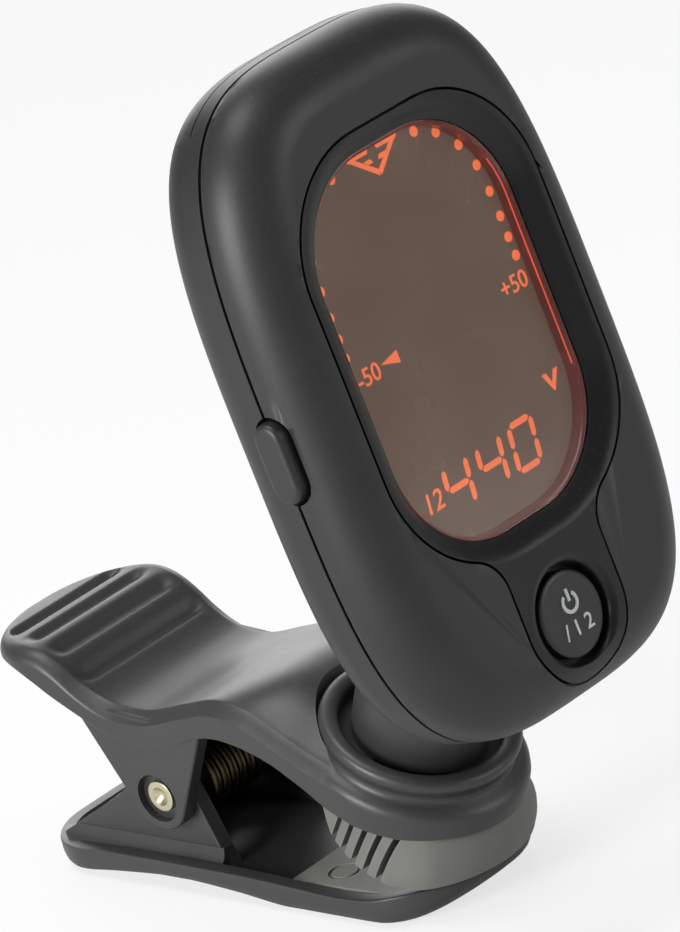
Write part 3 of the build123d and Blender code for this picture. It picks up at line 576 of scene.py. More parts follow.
def wear_group():
    """Rubbed edges: one where the surface turns sharply, broken up by noise."""
    tree, start, end = shader_group(
        "Rubbed edges",
        [("Radius", "NodeSocketFloat", 0.0003), ("Contrast", "NodeSocketFloat", 6.0)],
        [("Mask", "NodeSocketFloat")],
    )
    rounded = node(tree, "ShaderNodeBevel", (-700, 100), samples=4)
    link(tree, start, "Radius", rounded, "Radius")
    facing = node(tree, "ShaderNodeNewGeometry", (-700, -120))
    turn = node(tree, "ShaderNodeVectorMath", (-480, 20), operation="DOT_PRODUCT")
    link(tree, rounded, "Normal", turn, 0)
    link(tree, facing, "Normal", turn, 1)
    sharp = node(tree, "ShaderNodeMath", (-280, 20), operation="SUBTRACT")
    sharp.inputs[0].default_value = 1.0
    link(tree, turn, "Value", sharp, 1)
    noise = noise_on_piece(tree, (-480, -300), Scale=900.0, Detail=3.0)
    broken = node(tree, "ShaderNodeMath", (-80, 0), operation="MULTIPLY")
    link(tree, sharp, 0, broken, 0)
    link(tree, noise, "Fac", broken, 1)
    strong = node(tree, "ShaderNodeMath", (100, 0), operation="MULTIPLY", use_clamp=True)
    link(tree, broken, 0, strong, 0)
    link(tree, start, "Contrast", strong, 1)
    link(tree, strong, 0, end, "Mask")
    return tree


def dust_group():
    """Faint settled dust on what faces up."""
    tree, start, end = shader_group(
        "Settled dust", [("Amount", "NodeSocketFloat", 0.05)], [("Mask", "NodeSocketFloat")])
    facing = node(tree, "ShaderNodeNewGeometry", (-700, 100))
    parts = node(tree, "ShaderNodeSeparateXYZ", (-500, 100))
    link(tree, facing, "Normal", parts, 0)
    specks = noise_on_piece(tree, (-500, -120), Scale=2600.0, Detail=4.0)
    cut = node(tree, "ShaderNodeMapRange", (-300, -120))
    cut.inputs["From Min"].default_value = 0.55
    cut.inputs["From Max"].default_value = 0.8
    link(tree, specks, "Fac", cut, "Value")
    up = node(tree, "ShaderNodeMath", (-120, 60), operation="MULTIPLY", use_clamp=True)
    link(tree, parts, "Z", up, 0)
    link(tree, cut, "Result", up, 1)
    faint = node(tree, "ShaderNodeMath", (60, 60), operation="MULTIPLY", use_clamp=True)
    link(tree, up, 0, faint, 0)
    link(tree, start, "Amount", faint, 1)
    link(tree, faint, 0, end, "Mask")
    return tree


def shared(name, make):
    """A node group by its name, made at its first use."""
    return bpy.data.node_groups.get(name) or make()


def use_group(tree, group, place, **values):
    """A group's node in a material, with its own values."""
    made = node(tree, "ShaderNodeGroup", place)
    made.node_tree = group
    for key, value in values.items():
        made.inputs[key].default_value = value
    return made


def tinted(base, share, lift=0.0):
    """A colour made darker or lighter, as a socket takes it."""
    return (*[min(1, c * share + lift) for c in base], 1)


def finish(name, base, rough, grain=0.0001, depth=0.00001, wear=0.25, dust=0.05,
           **shader_values):
    """A material with grain, slow mottling, rubbed edges and a little dust."""
    found = bpy.data.materials.get(name)
    if found:
        return found
    material = bpy.data.materials.new(name)
    material.use_nodes = True
    tree = material.node_tree
    shader = tree.nodes["Principled BSDF"]
    for key, value in shader_values.items():
        shader.inputs[key.replace("_", " ")].default_value = value
    fine = use_group(tree, shared("Moulded grain", grain_group), (-900, 200), Size=grain)
    edge = use_group(tree, shared("Rubbed edges", wear_group), (-900, -60))
    motes = use_group(tree, shared("Settled dust", dust_group), (-900, -260), Amount=dust)
    tone = node(tree, "ShaderNodeMix", (-620, 300), data_type="RGBA")
    tone.inputs["A"].default_value = tinted(base, 0.86)
    tone.inputs["B"].default_value = tinted(base, 1.16)
    link(tree, fine, "Tone", tone, "Factor")
    worn = node(tree, "ShaderNodeMix", (-420, 200), data_type="RGBA")
    worn.inputs["B"].default_value = tinted(base, 1.7, 0.01)
    share = node(tree, "ShaderNodeMath", (-620, 0), operation="MULTIPLY")
    share.inputs[1].default_value = wear
    link(tree, edge, "Mask", share, 0)
    link(tree, share, 0, worn, "Factor")
    link(tree, tone, "Result", worn, "A")
    dusty = node(tree, "ShaderNodeMix", (-220, 200), data_type="RGBA")
    dusty.inputs["B"].default_value = (0.45, 0.44, 0.42, 1)
    link(tree, motes, "Mask", dusty, "Factor")
    link(tree, worn, "Result", dusty, "A")
    link(tree, dusty, "Result", shader, "Base Color")
    dull = node(tree, "ShaderNodeMapRange", (-420, -60))
    dull.inputs["To Min"].default_value = max(0.0, rough - 0.05)
    dull.inputs["To Max"].default_value = min(1.0, rough + 0.07)
    link(tree, fine, "Tone", dull, "Value")
    link(tree, dull, "Result", shader, "Roughness")
    if depth > 0:
        bump = node(tree, "ShaderNodeBump", (-220, -260), Strength=0.6, Distance=depth)
        link(tree, fine, "Height", bump, "Height")
        link(tree, bump, "Normal", shader, "Normal")
    return material


def glowing(name, colour_value, strength, base, patches=60.0, spread=0.25):
    """A lit surface whose glow varies slowly."""
    found = bpy.data.materials.get(name)
    if found:
        return found
    material = finish(name, base, 0.25, grain=0.006, depth=0, wear=0.0, dust=0.0)
    tree = material.node_tree
    shader = tree.nodes["Principled BSDF"]
    fine = use_group(tree, shared("Moulded grain", grain_group), (-700, -520), Size=0.006,
                     Patches=patches)
    tone = node(tree, "ShaderNodeMix", (-420, -520), data_type="RGBA")
    tone.inputs["A"].default_value = tinted(colour_value, 1 - spread)
    tone.inputs["B"].default_value = tinted(colour_value, 1 + spread)
    link(tree, fine, "Tone", tone, "Factor")
    link(tree, tone, "Result", shader, "Emission Color")
    shader.inputs["Emission Strength"].default_value = strength
    return material


def housing_plastic(s):
    """Fine-grained plastic of the two shells and the cover"""
    return finish("Housing plastic", s.finish.case, 0.44, grain=s.finish.grain, depth=0.000012,
                  wear=0.35, Specular_IOR_Level=0.4)


def bezel_plastic(s):
    """Darker, smoother plastic of the bezel"""
    return finish("Bezel plastic", s.finish.bezel, 0.38, grain=s.finish.grain, depth=0.000008,
                  wear=0.3, Specular_IOR_Level=0.32)


def clip_plastic(s):
    """Plastic of the clip and the post"""
    return finish("Clip plastic", s.finish.clip, 0.42, grain=s.finish.grain * 1.6,
                  depth=0.000006, wear=0.45)


def button_plastic(s):
    """Plastic of the two buttons"""
    return finish("Button plastic", s.finish.button, 0.42, grain=s.finish.grain, depth=0.000008)


# ---------------------------------------------------------------- outlines of the head
def head_outline(s, inset=0.0, count=160):
    """The head seen from the front, moved inwards by inset, in millimetres."""
    a = s.case.half_width / MILLI
    b = s.case.half_height / MILLI
    mid = s.case.centre / MILLI
    n = s.case.squareness
    points = []
    for i in range(count):
        t = 2 * pi * (i + 0.5) / count
        c, d = cos(t), sin(t)
        x = a * abs(c) ** (2 / n) * (1 if c > 0 else -1)
        y = b * abs(d) ** (2 / n) * (1 if d > 0 else -1)
        gx = abs(x / a) ** (n - 1) / a * (1 if c > 0 else -1)
        gy = abs(y / b) ** (n - 1) / b * (1 if d > 0 else -1)
        steep = sqrt(gx * gx + gy * gy)
        points.append((x - inset * gx / steep, mid + y - inset * gy / steep))
    return points


def keyhole(outset=0.0):
    """Display lobe and button neck in one outline, blended by a hollow curve."""
    lobe_w, top, low, r = 14.4 + outset, 45.0 + outset, 7.6 - outset, 10.5 + outset
    neck, neck_mid, blend = 5.9 + outset, 0.1, 4.0 - outset
    cx, cy_top, cy_low = lobe_w - r, top - r, low + r
    reach = r + blend
    bx = neck + blend
    by = cy_low - sqrt(reach ** 2 - (bx - cx) ** 2)
    turn = atan2(by - cy_low, bx - cx) * 180 / pi
    right = [(0, top)] + arc(cx, cy_top, r, 90, 0, 16)
    right += arc(cx, cy_low, r, 0, turn, 14)
    right += arc(bx, by, blend, 180 + turn, 180, 8)[1:]
    right += arc(0, neck_mid, neck, 0, -90, 14)
    return mirrored(right)


def window(outset=0.0):
    """Rounded outline of the display window."""
    w, top, low, r = 12.1 + outset, 43.2 + outset, 8.8 - outset, 9.6 + outset
    right = [(0, top)] + arc(w - r, top - r, r, 90, 0, 18)
    right += arc(w - r, low + r, r, 0, -90, 18) + [(0, low)]
    return mirrored(right)


def rounded_bar(length, width, count=12):
    """A slot outline: two half circles joined by straight sides."""
    r, half = width / 2, (length - width) / 2
    return arc(half, 0, r, 90, -90, count) + arc(-half, 0, r, -90, -270, count)


# ---------------------------------------------------------------- pieces of the head
def head_block(s, front, rear, edge_radius, at_front):
    """Half of the head as a solid, its outer edge rounded."""
    obj = prism("half", head_outline(s), -rear, -front)
    edit(obj, "FACE")
    level = -front if at_front else -rear
    pick_flat_side(obj, level)
    bpy.ops.mesh.select_mode(type="EDGE")
    bpy.ops.mesh.region_to_loop()
    bpy.ops.mesh.bevel(offset=edge_radius, segments=12, profile=0.5, affect="EDGES",
                       clamp_overlap=False)
    free()
    return obj


def hollow(obj, open_level, wall):
    """Take the flat open side off a solid and give the rest a wall."""
    edit(obj, "FACE")
    pick_flat_side(obj, open_level)
    bpy.ops.mesh.delete(type="ONLY_FACE")
    free()
    modify(obj, "SOLIDIFY", thickness=wall, offset=-1.0, use_even_offset=True)
    return obj


def side_slot():
    """Cutter for the side button's opening, in the head's frame."""
    cutter = prism("slot", rounded_bar(7.9, 3.9), -6.0, 6.0)
    return within(cutter, SIDE_KEY, HEAD)


class TUNER_OT_case(Operator):
    """Front shell, rear shell with its hinge lugs, and battery cover"""
    bl_idname = "tuner.case"
    bl_label = "Housing"

    def execute(self, context):
        s = context.scene.tuner
        seam, gap = s.case.seam / MILLI, s.case.gap / MILLI
        thick, wall = s.case.thickness / MILLI, s.case.wall / MILLI
        plastic = housing_plastic(s)

        front = head_block(s, 0.0, seam, s.case.front_round / MILLI, True)
        hollow(front, -seam, wall)
        combine(front, prism("hole", keyhole(s.case.groove / MILLI), -4.0, 2.0))
        combine(front, side_slot())
        soften(front, 0.12)
        shade(front)
        finish_piece(front, "front_shell_skin", HEAD, "head", "case_plastic", plastic,
                     "front_shell")

        rear = head_block(s, seam + gap, thick, s.case.rear_round / MILLI, False)
        hollow(rear, -seam - gap, wall)
        cover = copy_of(rear, "cover")
        half, low = COVER_HALF + COVER_GAP, COVER_LOW - COVER_GAP
        combine(rear, block("room", (-half, low, -thick - 3),
                            (half, 60, COVER_FACE + COVER_GAP)))
        combine(rear, side_slot())
        for x in (-CASE_SCREW_X, CASE_SCREW_X):
            combine(rear, prism("sink", circle(x, CASE_SCREW_Y, 1.67), -thick - 1, -10.3))
        for side in (-1, 1):
            lug = prism("lug", hull([(-BUTTON_OUT, -BUTTON_UP, 3.5), (-11.6, 4.8, 0.4),
                                     (-11.6, -2.7, 0.4)]), -1.1, 1.1)
            soften(lug, 0.3, 3)
            within(lug, head_side(side * 4.7), HEAD)
            combine(rear, lug, "UNION")
        bore = prism("bore", circle(-BUTTON_OUT, -BUTTON_UP, 1.26), -9, 9)
        combine(rear, within(bore, head_side(0), HEAD))
        soften(rear, 0.12)
        shade(rear)
        finish_piece(rear, "rear_shell_skin", HEAD, "head", "case_plastic", plastic,
                     "rear_shell")

        room = block("room", (-COVER_HALF, COVER_LOW, -thick - 3), (COVER_HALF, 60, COVER_FACE))
        combine(cover, room, "INTERSECT")
        combine(cover, block("tab", (-4.0, 19.4, -10.88), (4.0, 22.5, -10.08)), "UNION")
        for i in range(3):
            ridge = prism("grip", rounded_bar(11.0 - 2.0 * i, 0.9), -thick - 0.35, -thick + 0.4)
            ridge.location = (0, 26.0 + 2.2 * i, 0)
            combine(cover, settled(ridge))
        soften(cover, 0.12)
        shade(cover)
        finish_piece(cover, "battery_cover_skin", HEAD, "battery_door", "case_plastic", plastic,
                     "battery_cover")
        return {"FINISHED"}


class TUNER_OT_bezel(Operator):
    """Keyhole bezel with its dished window and the mode button's hole"""
    bl_idname = "tuner.bezel"
    bl_label = "Bezel"

    def execute(self, context):
        s = context.scene.tuner
        bezel = prism("bezel", keyhole(), -2.2, 2.0)
        solid = head_block(s, 0.0, s.case.seam / MILLI, s.case.front_round / MILLI, True)
        combine(bezel, solid, "INTERSECT")
        flange = prism("flange", keyhole(1.1), -2.25, -1.5)
        combine(flange, prism("inside", head_outline(s, 1.62), -4.0, 1.0), "INTERSECT")
        combine(bezel, flange, "UNION")
        steps = ((2.3, 1.0), (2.3, 0.02), (1.75, -0.05), (1.25, -0.3), (0.8, -0.72),
                 (0.35, -1.1), (0.0, -1.3), (0.0, -3.0))
        combine(bezel, tower("dish", [flat(window(o), z) for o, z in steps]))
        rim = ((5.3, 1.0), (5.3, 0.02), (4.85, -0.06), (4.5, -0.3), (4.3, -0.65), (4.3, -4.0))
        combine(bezel, lathe("well", rim, 64))
        soften(bezel, 0.08)
        shade(bezel, 35)
        finish_piece(bezel, "face_bezel_skin", HEAD, "head", "case_plastic", bezel_plastic(s),
                     "face_bezel")
        return {"FINISHED"}


# seven-segment strokes: (x, y, long, upright)
STROKES = {"a": (0, 1, False), "b": (1, 0.5, True), "c": (1, -0.5, True), "d": (0, -1, False),
           "e": (-1, -0.5, True), "f": (-1, 0.5, True), "g": (0, 0, False)}
DIGITS = {"4": "bcfg", "0": "abcdef"}
# dots of the scale on the display's right, mirrored to its left
SCALE_DOTS = ((5.27, 41.9), (7.57, 40.9), (9.47, 39.0), (10.57, 36.7), (10.87, 34.2),
              (10.97, 31.9), (10.97, 30.0), (11.02, 28.3))
# flat outlines on the display: the triangle at the top and the pointers
SCALE_SHAPES = (
    ((-3.3, 42.7), (-0.3, 42.7), (-0.55, 42.25), (-2.85, 42.25)),
    ((0.5, 42.7), (3.5, 42.7), (3.05, 42.25), (0.75, 42.25)),
    ((-3.3, 42.7), (-2.7, 42.7), (0.15, 40.6), (0.0, 40.1)),
    ((3.5, 42.7), (2.9, 42.7), (0.05, 40.6), (0.2, 40.1)),
    ((-1.3, 41.75), (-0.45, 41.75), (-0.2, 41.35), (-0.8, 41.35)),
    ((0.7, 41.75), (1.55, 41.75), (1.05, 41.35), (0.45, 41.35)),
    ((-7.7, 26.3), (-5.5, 26.75), (-5.5, 25.65)),
    ((8.7, 18.2), (9.25, 18.2), (9.75, 16.9), (9.55, 16.5)),
    ((10.75, 18.2), (10.2, 18.2), (9.45, 16.9), (9.65, 16.5)),
)


def stroke(x, y, length, width, upright, slant):
    """One pointed segment of a digit, leaning by slant."""
    a, b = length / 2, width / 2
    points = [(-a, 0), (-a + b, b), (a - b, b), (a, 0), (a - b, -b), (-a + b, -b)]
    if upright:
        points = [(v, u) for u, v in points]
    return [(x + u + slant * (y + v), y + v) for u, v in points]


def mark(points, low, high):
    """One flat mark or stroke."""
    return prism("mark", points, low, high)


def lettering(text, height, x, y, low, high, bold=0.0, slant=0.0):
    """Text made a mesh, centred at a place."""
    free()
    bpy.ops.object.text_add()
    obj = newest("text")
    obj.data.body = text
    obj.data.size = height / 0.69
    obj.data.align_x = "CENTER"
    obj.data.align_y = "CENTER"
    obj.data.extrude = (high - low) / 2
    obj.data.offset = bold
    obj.data.shear = slant
    obj.data.resolution_u = 4
    only(obj)
    bpy.ops.object.convert(target="MESH")
    obj = bpy.context.object
    obj.location = (x, y, (high + low) / 2)
    bpy.ops.object.transform_apply(location=True, rotation=True, scale=True)
    tidy(obj, 0.0001)
    return obj


class TUNER_OT_display(Operator):
    """Lens, display panel with its lit marks, and the light guide round them"""
    bl_idname = "tuner.display"
    bl_label = "Display"

    def execute(self, context):
        s = context.scene.tuner
        lens = tower("lens", [flat(window(-0.05), -1.9), flat(window(-0.05), -1.5),
                              flat(window(-0.12), -1.42)])
        shade(lens, 30)
        glass = finish("Clear lens", (0.9, 0.86, 0.83), 0.05, grain=0.006, depth=0,
                       wear=0.0, dust=0.0, Transmission_Weight=1.0, IOR=1.4)
        finish_piece(lens, "display_lens_clear", HEAD, "head", "lens_clear", glass,
                     "display_lens")

        panel = tower("panel", [flat(window(-0.42), -4.2), flat(window(-0.42), -3.05),
                                flat(window(-0.5), -2.97)])
        shade(panel, 30)
        screen = glowing("Display ground", s.finish.screen, 0.62, (0.03, 0.02, 0.016), 45.0, 0.14)
        finish_piece(panel, "lcd_panel_glass", HEAD, "head", "lcd_glass", screen, "lcd_panel")

        low, high = -2.98, -2.93
        shapes = []
        for x, y in SCALE_DOTS:
            for side in (1, -1):
                shapes.append(mark(circle(side * x, y, 0.46, 20), low, high))
        shapes += [mark(points, low, high) for points in SCALE_SHAPES]
        shapes.append(lettering("-50", 1.5, -9.35, 26.0, low, high, 0.02))
        shapes.append(lettering("+50", 1.5, 9.6, 26.2, low, high, 0.02))
        slant = 0.14
        for digit, at in (("4", -4.5), ("4", -0.15), ("0", 4.1)):
            for key in DIGITS[digit]:
                sx, sy, upright = STROKES[key]
                points = stroke(sx * 1.4, sy * 1.9, 1.75 if upright else 2.5, 0.55, upright,
                                slant)
                shapes.append(mark([(at + x, 14.0 + y) for x, y in points], low, high))
        shapes.append(lettering("12", 1.7, -7.9, 13.9, low, high, 0.02, 0.15))
        marks = joined(shapes, "marks")
        lit = glowing("Lit marks", s.finish.marks, 1.0, (0.3, 0.08, 0.03), 90.0, 0.12)
        finish_piece(marks, "lcd_marks", HEAD, "head", "lcd_glass", lit)

        guide = prism("guide", window(-0.03), -5.2, -1.92)
        combine(guide, prism("hollow", window(-0.4), -4.22, 0.0))
        shade(guide, 30)
        red = glowing("Light guide", s.finish.glow, 0.5, (0.10, 0.012, 0.008), 70.0, 0.5)
        finish_piece(guide, "light_guide_frame", HEAD, "head", "light_guide", red, "backlight")
        glow = tower("line", [flat(window(-0.4), -2.1), flat(window(-0.4), -1.98),
                              flat(window(-0.46), -1.98), flat(window(-0.46), -2.1)], caps=False)
        edit(glow, "EDGE")
        pick(glow, "EDGE", lambda e: e.is_boundary)
        bpy.ops.mesh.bridge_edge_loops()
        free()
        tidy(glow)
        combine(glow, block("stretch", (9, 18, -4), (14, 37, 0)), "INTERSECT")
        bright = glowing("Bright edge", (0.80, 0.08, 0.045), 1.0, (0.4, 0.05, 0.03), 60.0, 0.3)
        finish_piece(glow, "light_guide_bright_edge", HEAD, "head", "light_guide", bright)
        return {"FINISHED"}


class TUNER_OT_buttons(Operator):
    """Round mode button with its printed mark, and the side button"""
    bl_idname = "tuner.buttons"
    bl_label = "Buttons"

    def execute(self, context):
        s = context.scene.tuner
        plastic = button_plastic(s)
        profile = ((0.0, -0.62), (1.6, -0.6), (2.8, -0.54), (3.3, -0.5), (3.55, -0.54),
                   (3.7, -0.66), (3.75, -0.85), (3.75, -2.2), (4.8, -2.27), (4.8, -2.85),
                   (1.5, -2.85), (1.5, -3.75), (0.0, -3.75))
        key = lathe("key", profile, 72)
        shade(key, 30)
        finish_piece(key, "mode_button_cap", HEAD, "mode_key", "button_plastic", plastic,
                     "mode_button")

        low, high = -0.66, -0.50
        cx, cy = 0.25, 0.95
        outer = arc(cx, cy, 1.0, 90 - 38, 90 - 322, 28)
        inner = arc(cx, cy, 0.68, 90 - 322, 90 - 38, 28)
        shapes = [mark(outer + inner, low, high),
                  mark(((cx - 0.16, cy + 1.2), (cx + 0.16, cy + 1.2), (cx + 0.16, cy + 0.1),
                        (cx - 0.16, cy + 0.1)), low, high),
                  lettering("/ 1 2", 1.35, 0.25, -1.35, low, high, 0.015)]
        legend = joined(shapes, "legend")
        print_ink = finish("Printed legend", s.finish.legend, 0.5, wear=0.0, dust=0.0)
        finish_piece(legend, "mode_button_legend", HEAD, "mode_key", "button_plastic", print_ink)

        rings = [(0.0, -1.55), (0.0, 0.45), (0.06, 0.66), (0.2, 0.84), (0.4, 0.93),
                 (0.62, 0.95)]
        side = tower("side", [flat(rounded_bar(7.2 - 2 * i, 3.1 - 2 * i), z) for i, z in rings])
        flange = prism("flange", rounded_bar(8.6, 4.5), -2.0, -1.55)
        combine(side, flange, "UNION")
        combine(side, prism("stem", circle(0, 0, 0.9), -2.5, -1.8), "UNION")
        shade(side, 30)
        finish_piece(side, "side_button_cap", SIDE_KEY, "side_key", "button_plastic", plastic,
                     "side_button")
        return {"FINISHED"}


# ---------------------------------------------------------------- pieces of the clip
upper_top = curve_through([
    (-21.5, 22.0), (-18.5, 22.35), (-15.5, 22.5), (-12.9, 22.5), (-10.8, 22.1), (-9.0, 21.1),
    (-6.9, 19.5), (-4.8, 18.3), (-2.5, 17.65), (0.9, 17.6), (5.6, 18.8), (9.5, 19.65),
    (13.0, 19.1), (17.0, 17.3), (20.0, 15.85), (24.0, 14.1), (28.0, 12.5),
])
upper_low = curve_through([
    (-21.5, 20.7), (-17.0, 20.75), (-13.4, 20.4), (-9.7, 18.2), (-7.0, 16.7), (-4.0, 15.2),
    (0.0, 14.4), (4.0, 15.0), (8.0, 16.25), (11.5, 16.15), (15.6, 15.0), (19.0, 13.2),
    (22.0, 11.2), (28.0, 8.8),
])
lower_under = curve_through([
    (-18.2, 1.9), (-16.8, 0.9), (-15.2, 0.25), (-13.5, 0.03), (-8.0, 0.55), (-0.5, 1.0),
    (7.0, 0.6), (12.4, 0.02), (15.0, 0.0), (20.0, 0.0), (22.6, 0.0), (25.0, 0.1),
    (27.5, 0.45), (29.5, 1.15), (31.0, 1.95), (32.3, 2.9),
])
lower_rim = curve_through([
    (-18.2, 2.5), (-14.0, 2.7), (-10.0, 2.9), (-6.0, 3.0), (8.0, 2.9), (15.0, 2.6),
    (19.0, 2.4), (22.0, 2.5), (24.0, 2.7), (27.0, 3.1), (29.0, 3.15), (31.0, 3.0),
    (32.5, 2.9),
])


def upper_rows(s):
    """Rows of the upper arm's plan for an inset, from the thumb end to the collar."""
    thumb, waist = s.clip.thumb_half / MILLI, s.clip.upper_half / MILLI
    rear, corner, front = -20.2, 8.0, 27.6

    def width(h, inset):
        t = (h + 21.0) / 22.0
        full = thumb + (waist - thumb) * min(1.0, t)
        full += 0.35 * max(0.0, min(1.0, (h - 8.0) / 10.0))
        return full - inset

    def rows(inset):
        plan = []
        steps = 56
        for i in range(steps):
            turn = radians(9 + 81 * i / steps)
            middle = rear + corner
            h = middle - (corner - inset) * cos(turn)
            plan.append((h, width(middle, inset) * sin(turn)))
        count = 132
        for i in range(count + 1):
            h = rear + corner + (front - rear - corner) * i / count
            plan.append((h, width(h, inset)))
        return plan

    return rows


def egg(obj, reach, start, full):
    """Stretch a turned piece of the collar to the front, below a height."""
    edit(obj, "VERT")
    bm = bmesh.from_edit_mesh(obj.data)
    for vertex in bm.verts:
        share = max(0.0, min(1.0, (start - vertex.co.z) / (start - full)))
        radius = sqrt(vertex.co.x ** 2 + vertex.co.y ** 2)
        ahead = max(0.0, -vertex.co.y / radius) if radius > 8.8 else 0.0
        vertex.co.y -= reach * share * ahead ** 2
    bmesh.update_edit_mesh(obj.data)
    free()


def fairing(h, x):
    """Rise of the upper arm's middle towards the collar."""
    share = max(0.0, min(1.0, (h - RISE_FROM) / RISE_RUN))
    across = max(0.0, 1 - abs(x / RISE_HALF) ** 3) ** 1.3
    return RISE * share * share * (3 - 2 * share) * across


def thumb_dip(s, h, x):
    """Depth of the thumb grooves at a place on the upper arm."""
    dip = 0.0
    for i in range(s.clip.grooves):
        off = abs(h + THUMB_FIRST + THUMB_PITCH * i)
        if off < THUMB_HALF:
            fade = min(1.0, max(0.0, (8.3 - 0.3 * i - abs(x)) / 1.3))
            dip = max(dip, THUMB_DEPTH * (1 + cos(pi * off / THUMB_HALF)) * fade)
    return dip


class TUNER_OT_upper_arm(Operator):
    """Upper arm with its thumb grooves, hinge ears and the collar of the post"""
    bl_idname = "tuner.upper_arm"
    bl_label = "Upper arm"

    def execute(self, context):
        s = context.scene.tuner
        edge = s.clip.chamfer / MILLI
        wall = s.clip.wall / MILLI
        rows = upper_rows(s)
        columns = [c / 18 for c in range(-18, 19)]

        def drop(inset, rounded, sloped):
            """A ring of the edge: rounded at the thumb, a straight slope further on."""
            def height(h):
                share = max(0.0, min(1.0, (h + 15.0) / 14.0))
                share = share * share * (3 - 2 * share)
                return upper_top(h) - rounded * (1 - share) - sloped * share
            return (edge * inset, height)

        rings = [drop(1.0, 0.0, 0.0), drop(0.86, 0.015, 0.06), drop(0.6, 0.12, 0.38),
                 drop(0.33, 0.36, 0.7), drop(0.13, 0.7, 0.92), drop(0.03, 1.05, 1.03),
                 drop(0.0, 1.3, 1.18),
                 (0.0, lambda h: upper_low(h) + 0.2),
                 (0.12, upper_low),
                 (wall, upper_low),
                 (wall, lambda h: max(upper_low(h) + 0.02, upper_top(h) - 2.3))]
        arm = skin("arm", rows, columns,
                   lambda h, x: upper_top(h) + fairing(h, x) - thumb_dip(s, h, x), rings)
        # the ceiling under the plate closes the shell
        edit(arm, "EDGE")
        pick(arm, "EDGE", lambda e: e.is_boundary and abs(e.verts[0].co.x) > 0.01
             and all(v.co.y < PIN_Y + 18.5 and v.co.y > PIN_Y - 27.55 for v in e.verts))
        bpy.ops.mesh.bridge_edge_loops()
        bpy.ops.mesh.select_all(action="DESELECT")
        pick(arm, "EDGE", lambda e: e.is_boundary)
        bpy.ops.mesh.edge_face_add()
        free()
        tidy(arm)

        collar = lathe("collar", (
            (9.75, -16.0), (9.75, -3.75), (9.68, -3.35), (9.5, -3.02), (9.2, -2.78),
            (8.85, -2.6), (8.6, -2.38), (8.46, -2.05), (8.48, -1.7), (8.66, -1.35),
            (8.84, -1.0), (8.9, -0.68), (8.82, -0.36), (8.6, -0.12), (8.28, 0.0),
            (7.9, 0.04), (7.5, -0.06), (7.22, -0.3), (7.1, -0.65), (7.05, -1.5), (4.05, -1.5),
            (4.05, -4.6), (8.7, -4.6), (8.7, -16.0)), COLLAR_TURN, closed=True)
        egg(collar, 0.55, -2.2, -3.6)
        below = prism("below", ((8.0, 15.2), (16.0, 14.6), (20.0, 12.7), (24.0, 10.35),
                                (28.0, 8.7), (34.0, 6.95), (38.0, 6.1), (38.0, -12.0),
                                (8.0, -12.0)), -14, 14)
        combine(collar, within(below, side_view(0), COLLAR))
        within(arm, TABLE, COLLAR)
        # room for the post, nothing of the plate before the collar, a groove behind its lip
        inside = lathe("inside", ((8.7, -16.0), (8.7, -4.6), (6.0, -4.6), (6.0, 3.0),
                                  (0.0, 3.0), (0.0, -16.0)), COLLAR_TURN)
        ahead = block("ahead", (-30, -40, -40), (30, 0, 40))
        moat = lathe("moat", ((6.0, -2.1), (8.35, -2.1), (8.65, -1.8), (8.95, -1.25),
                              (9.35, -0.7), (9.9, -0.25), (10.8, 0.25), (13.0, 1.3),
                              (13.0, 6.0), (6.0, 6.0)), COLLAR_TURN, closed=True)
        for cutter in (inside, ahead, moat):
            combine(arm, cutter)
        combine(arm, collar, "UNION")
        within(arm, COLLAR, TABLE)

        pin_z = s.clip.pin_height / MILLI
        for side in (-1, 1):
            ear = prism("ear", hull([(0, pin_z, 3.15), (-7.6, 17.4, 0.35), (6.9, 16.2, 0.35)],
                                    48), -EAR_HALF, EAR_HALF)
            soften(ear, 0.25, 3)
            within(ear, side_view(side * EAR_X), TABLE)
            combine(arm, ear, "UNION")
            well = prism("well", circle(0, pin_z, 2.3, 48), -0.75, 0.75)
            combine(arm, within(well, side_view(side * EAR_WELL_X), TABLE))
        bore = prism("bore", circle(0, pin_z, s.clip.pin_radius / MILLI, 48), -12, 12)
        combine(arm, within(bore, side_view(0), TABLE))
        shade(arm, 32)
        finish_piece(arm, "upper_arm_skin", TABLE, "upper_jaw", "clip_plastic",
                     clip_plastic(s), "upper_arm")
        return {"FINISHED"}


def lower_rows(s):
    """Rows of the lower arm's plan for an inset, from the tail to the nose."""
    full, corner = s.clip.lower_half / MILLI, 7.0
    rear, nose_at, nose_r, nose_l = -18.1, 23.2, 9.4, 7.9

    def rows(inset):
        plan = []
        for i in range(16):
            turn = radians(90 * i / 16)
            plan.append((rear + corner - (corner - inset) * cos(turn),
                         full - corner + (corner - inset) * sin(turn)))
        for i in range(49):
            h = rear + corner + (nose_at - rear - corner) * i / 48
            half = full + (nose_r - full) * i / 48
            plan.append((h, half - inset))
        for i in range(1, 31):
            turn = radians(88.5 * i / 30)
            plan.append((nose_at + (nose_l - inset) * sin(turn), (nose_r - inset) * cos(turn)))
        return plan

    return rows


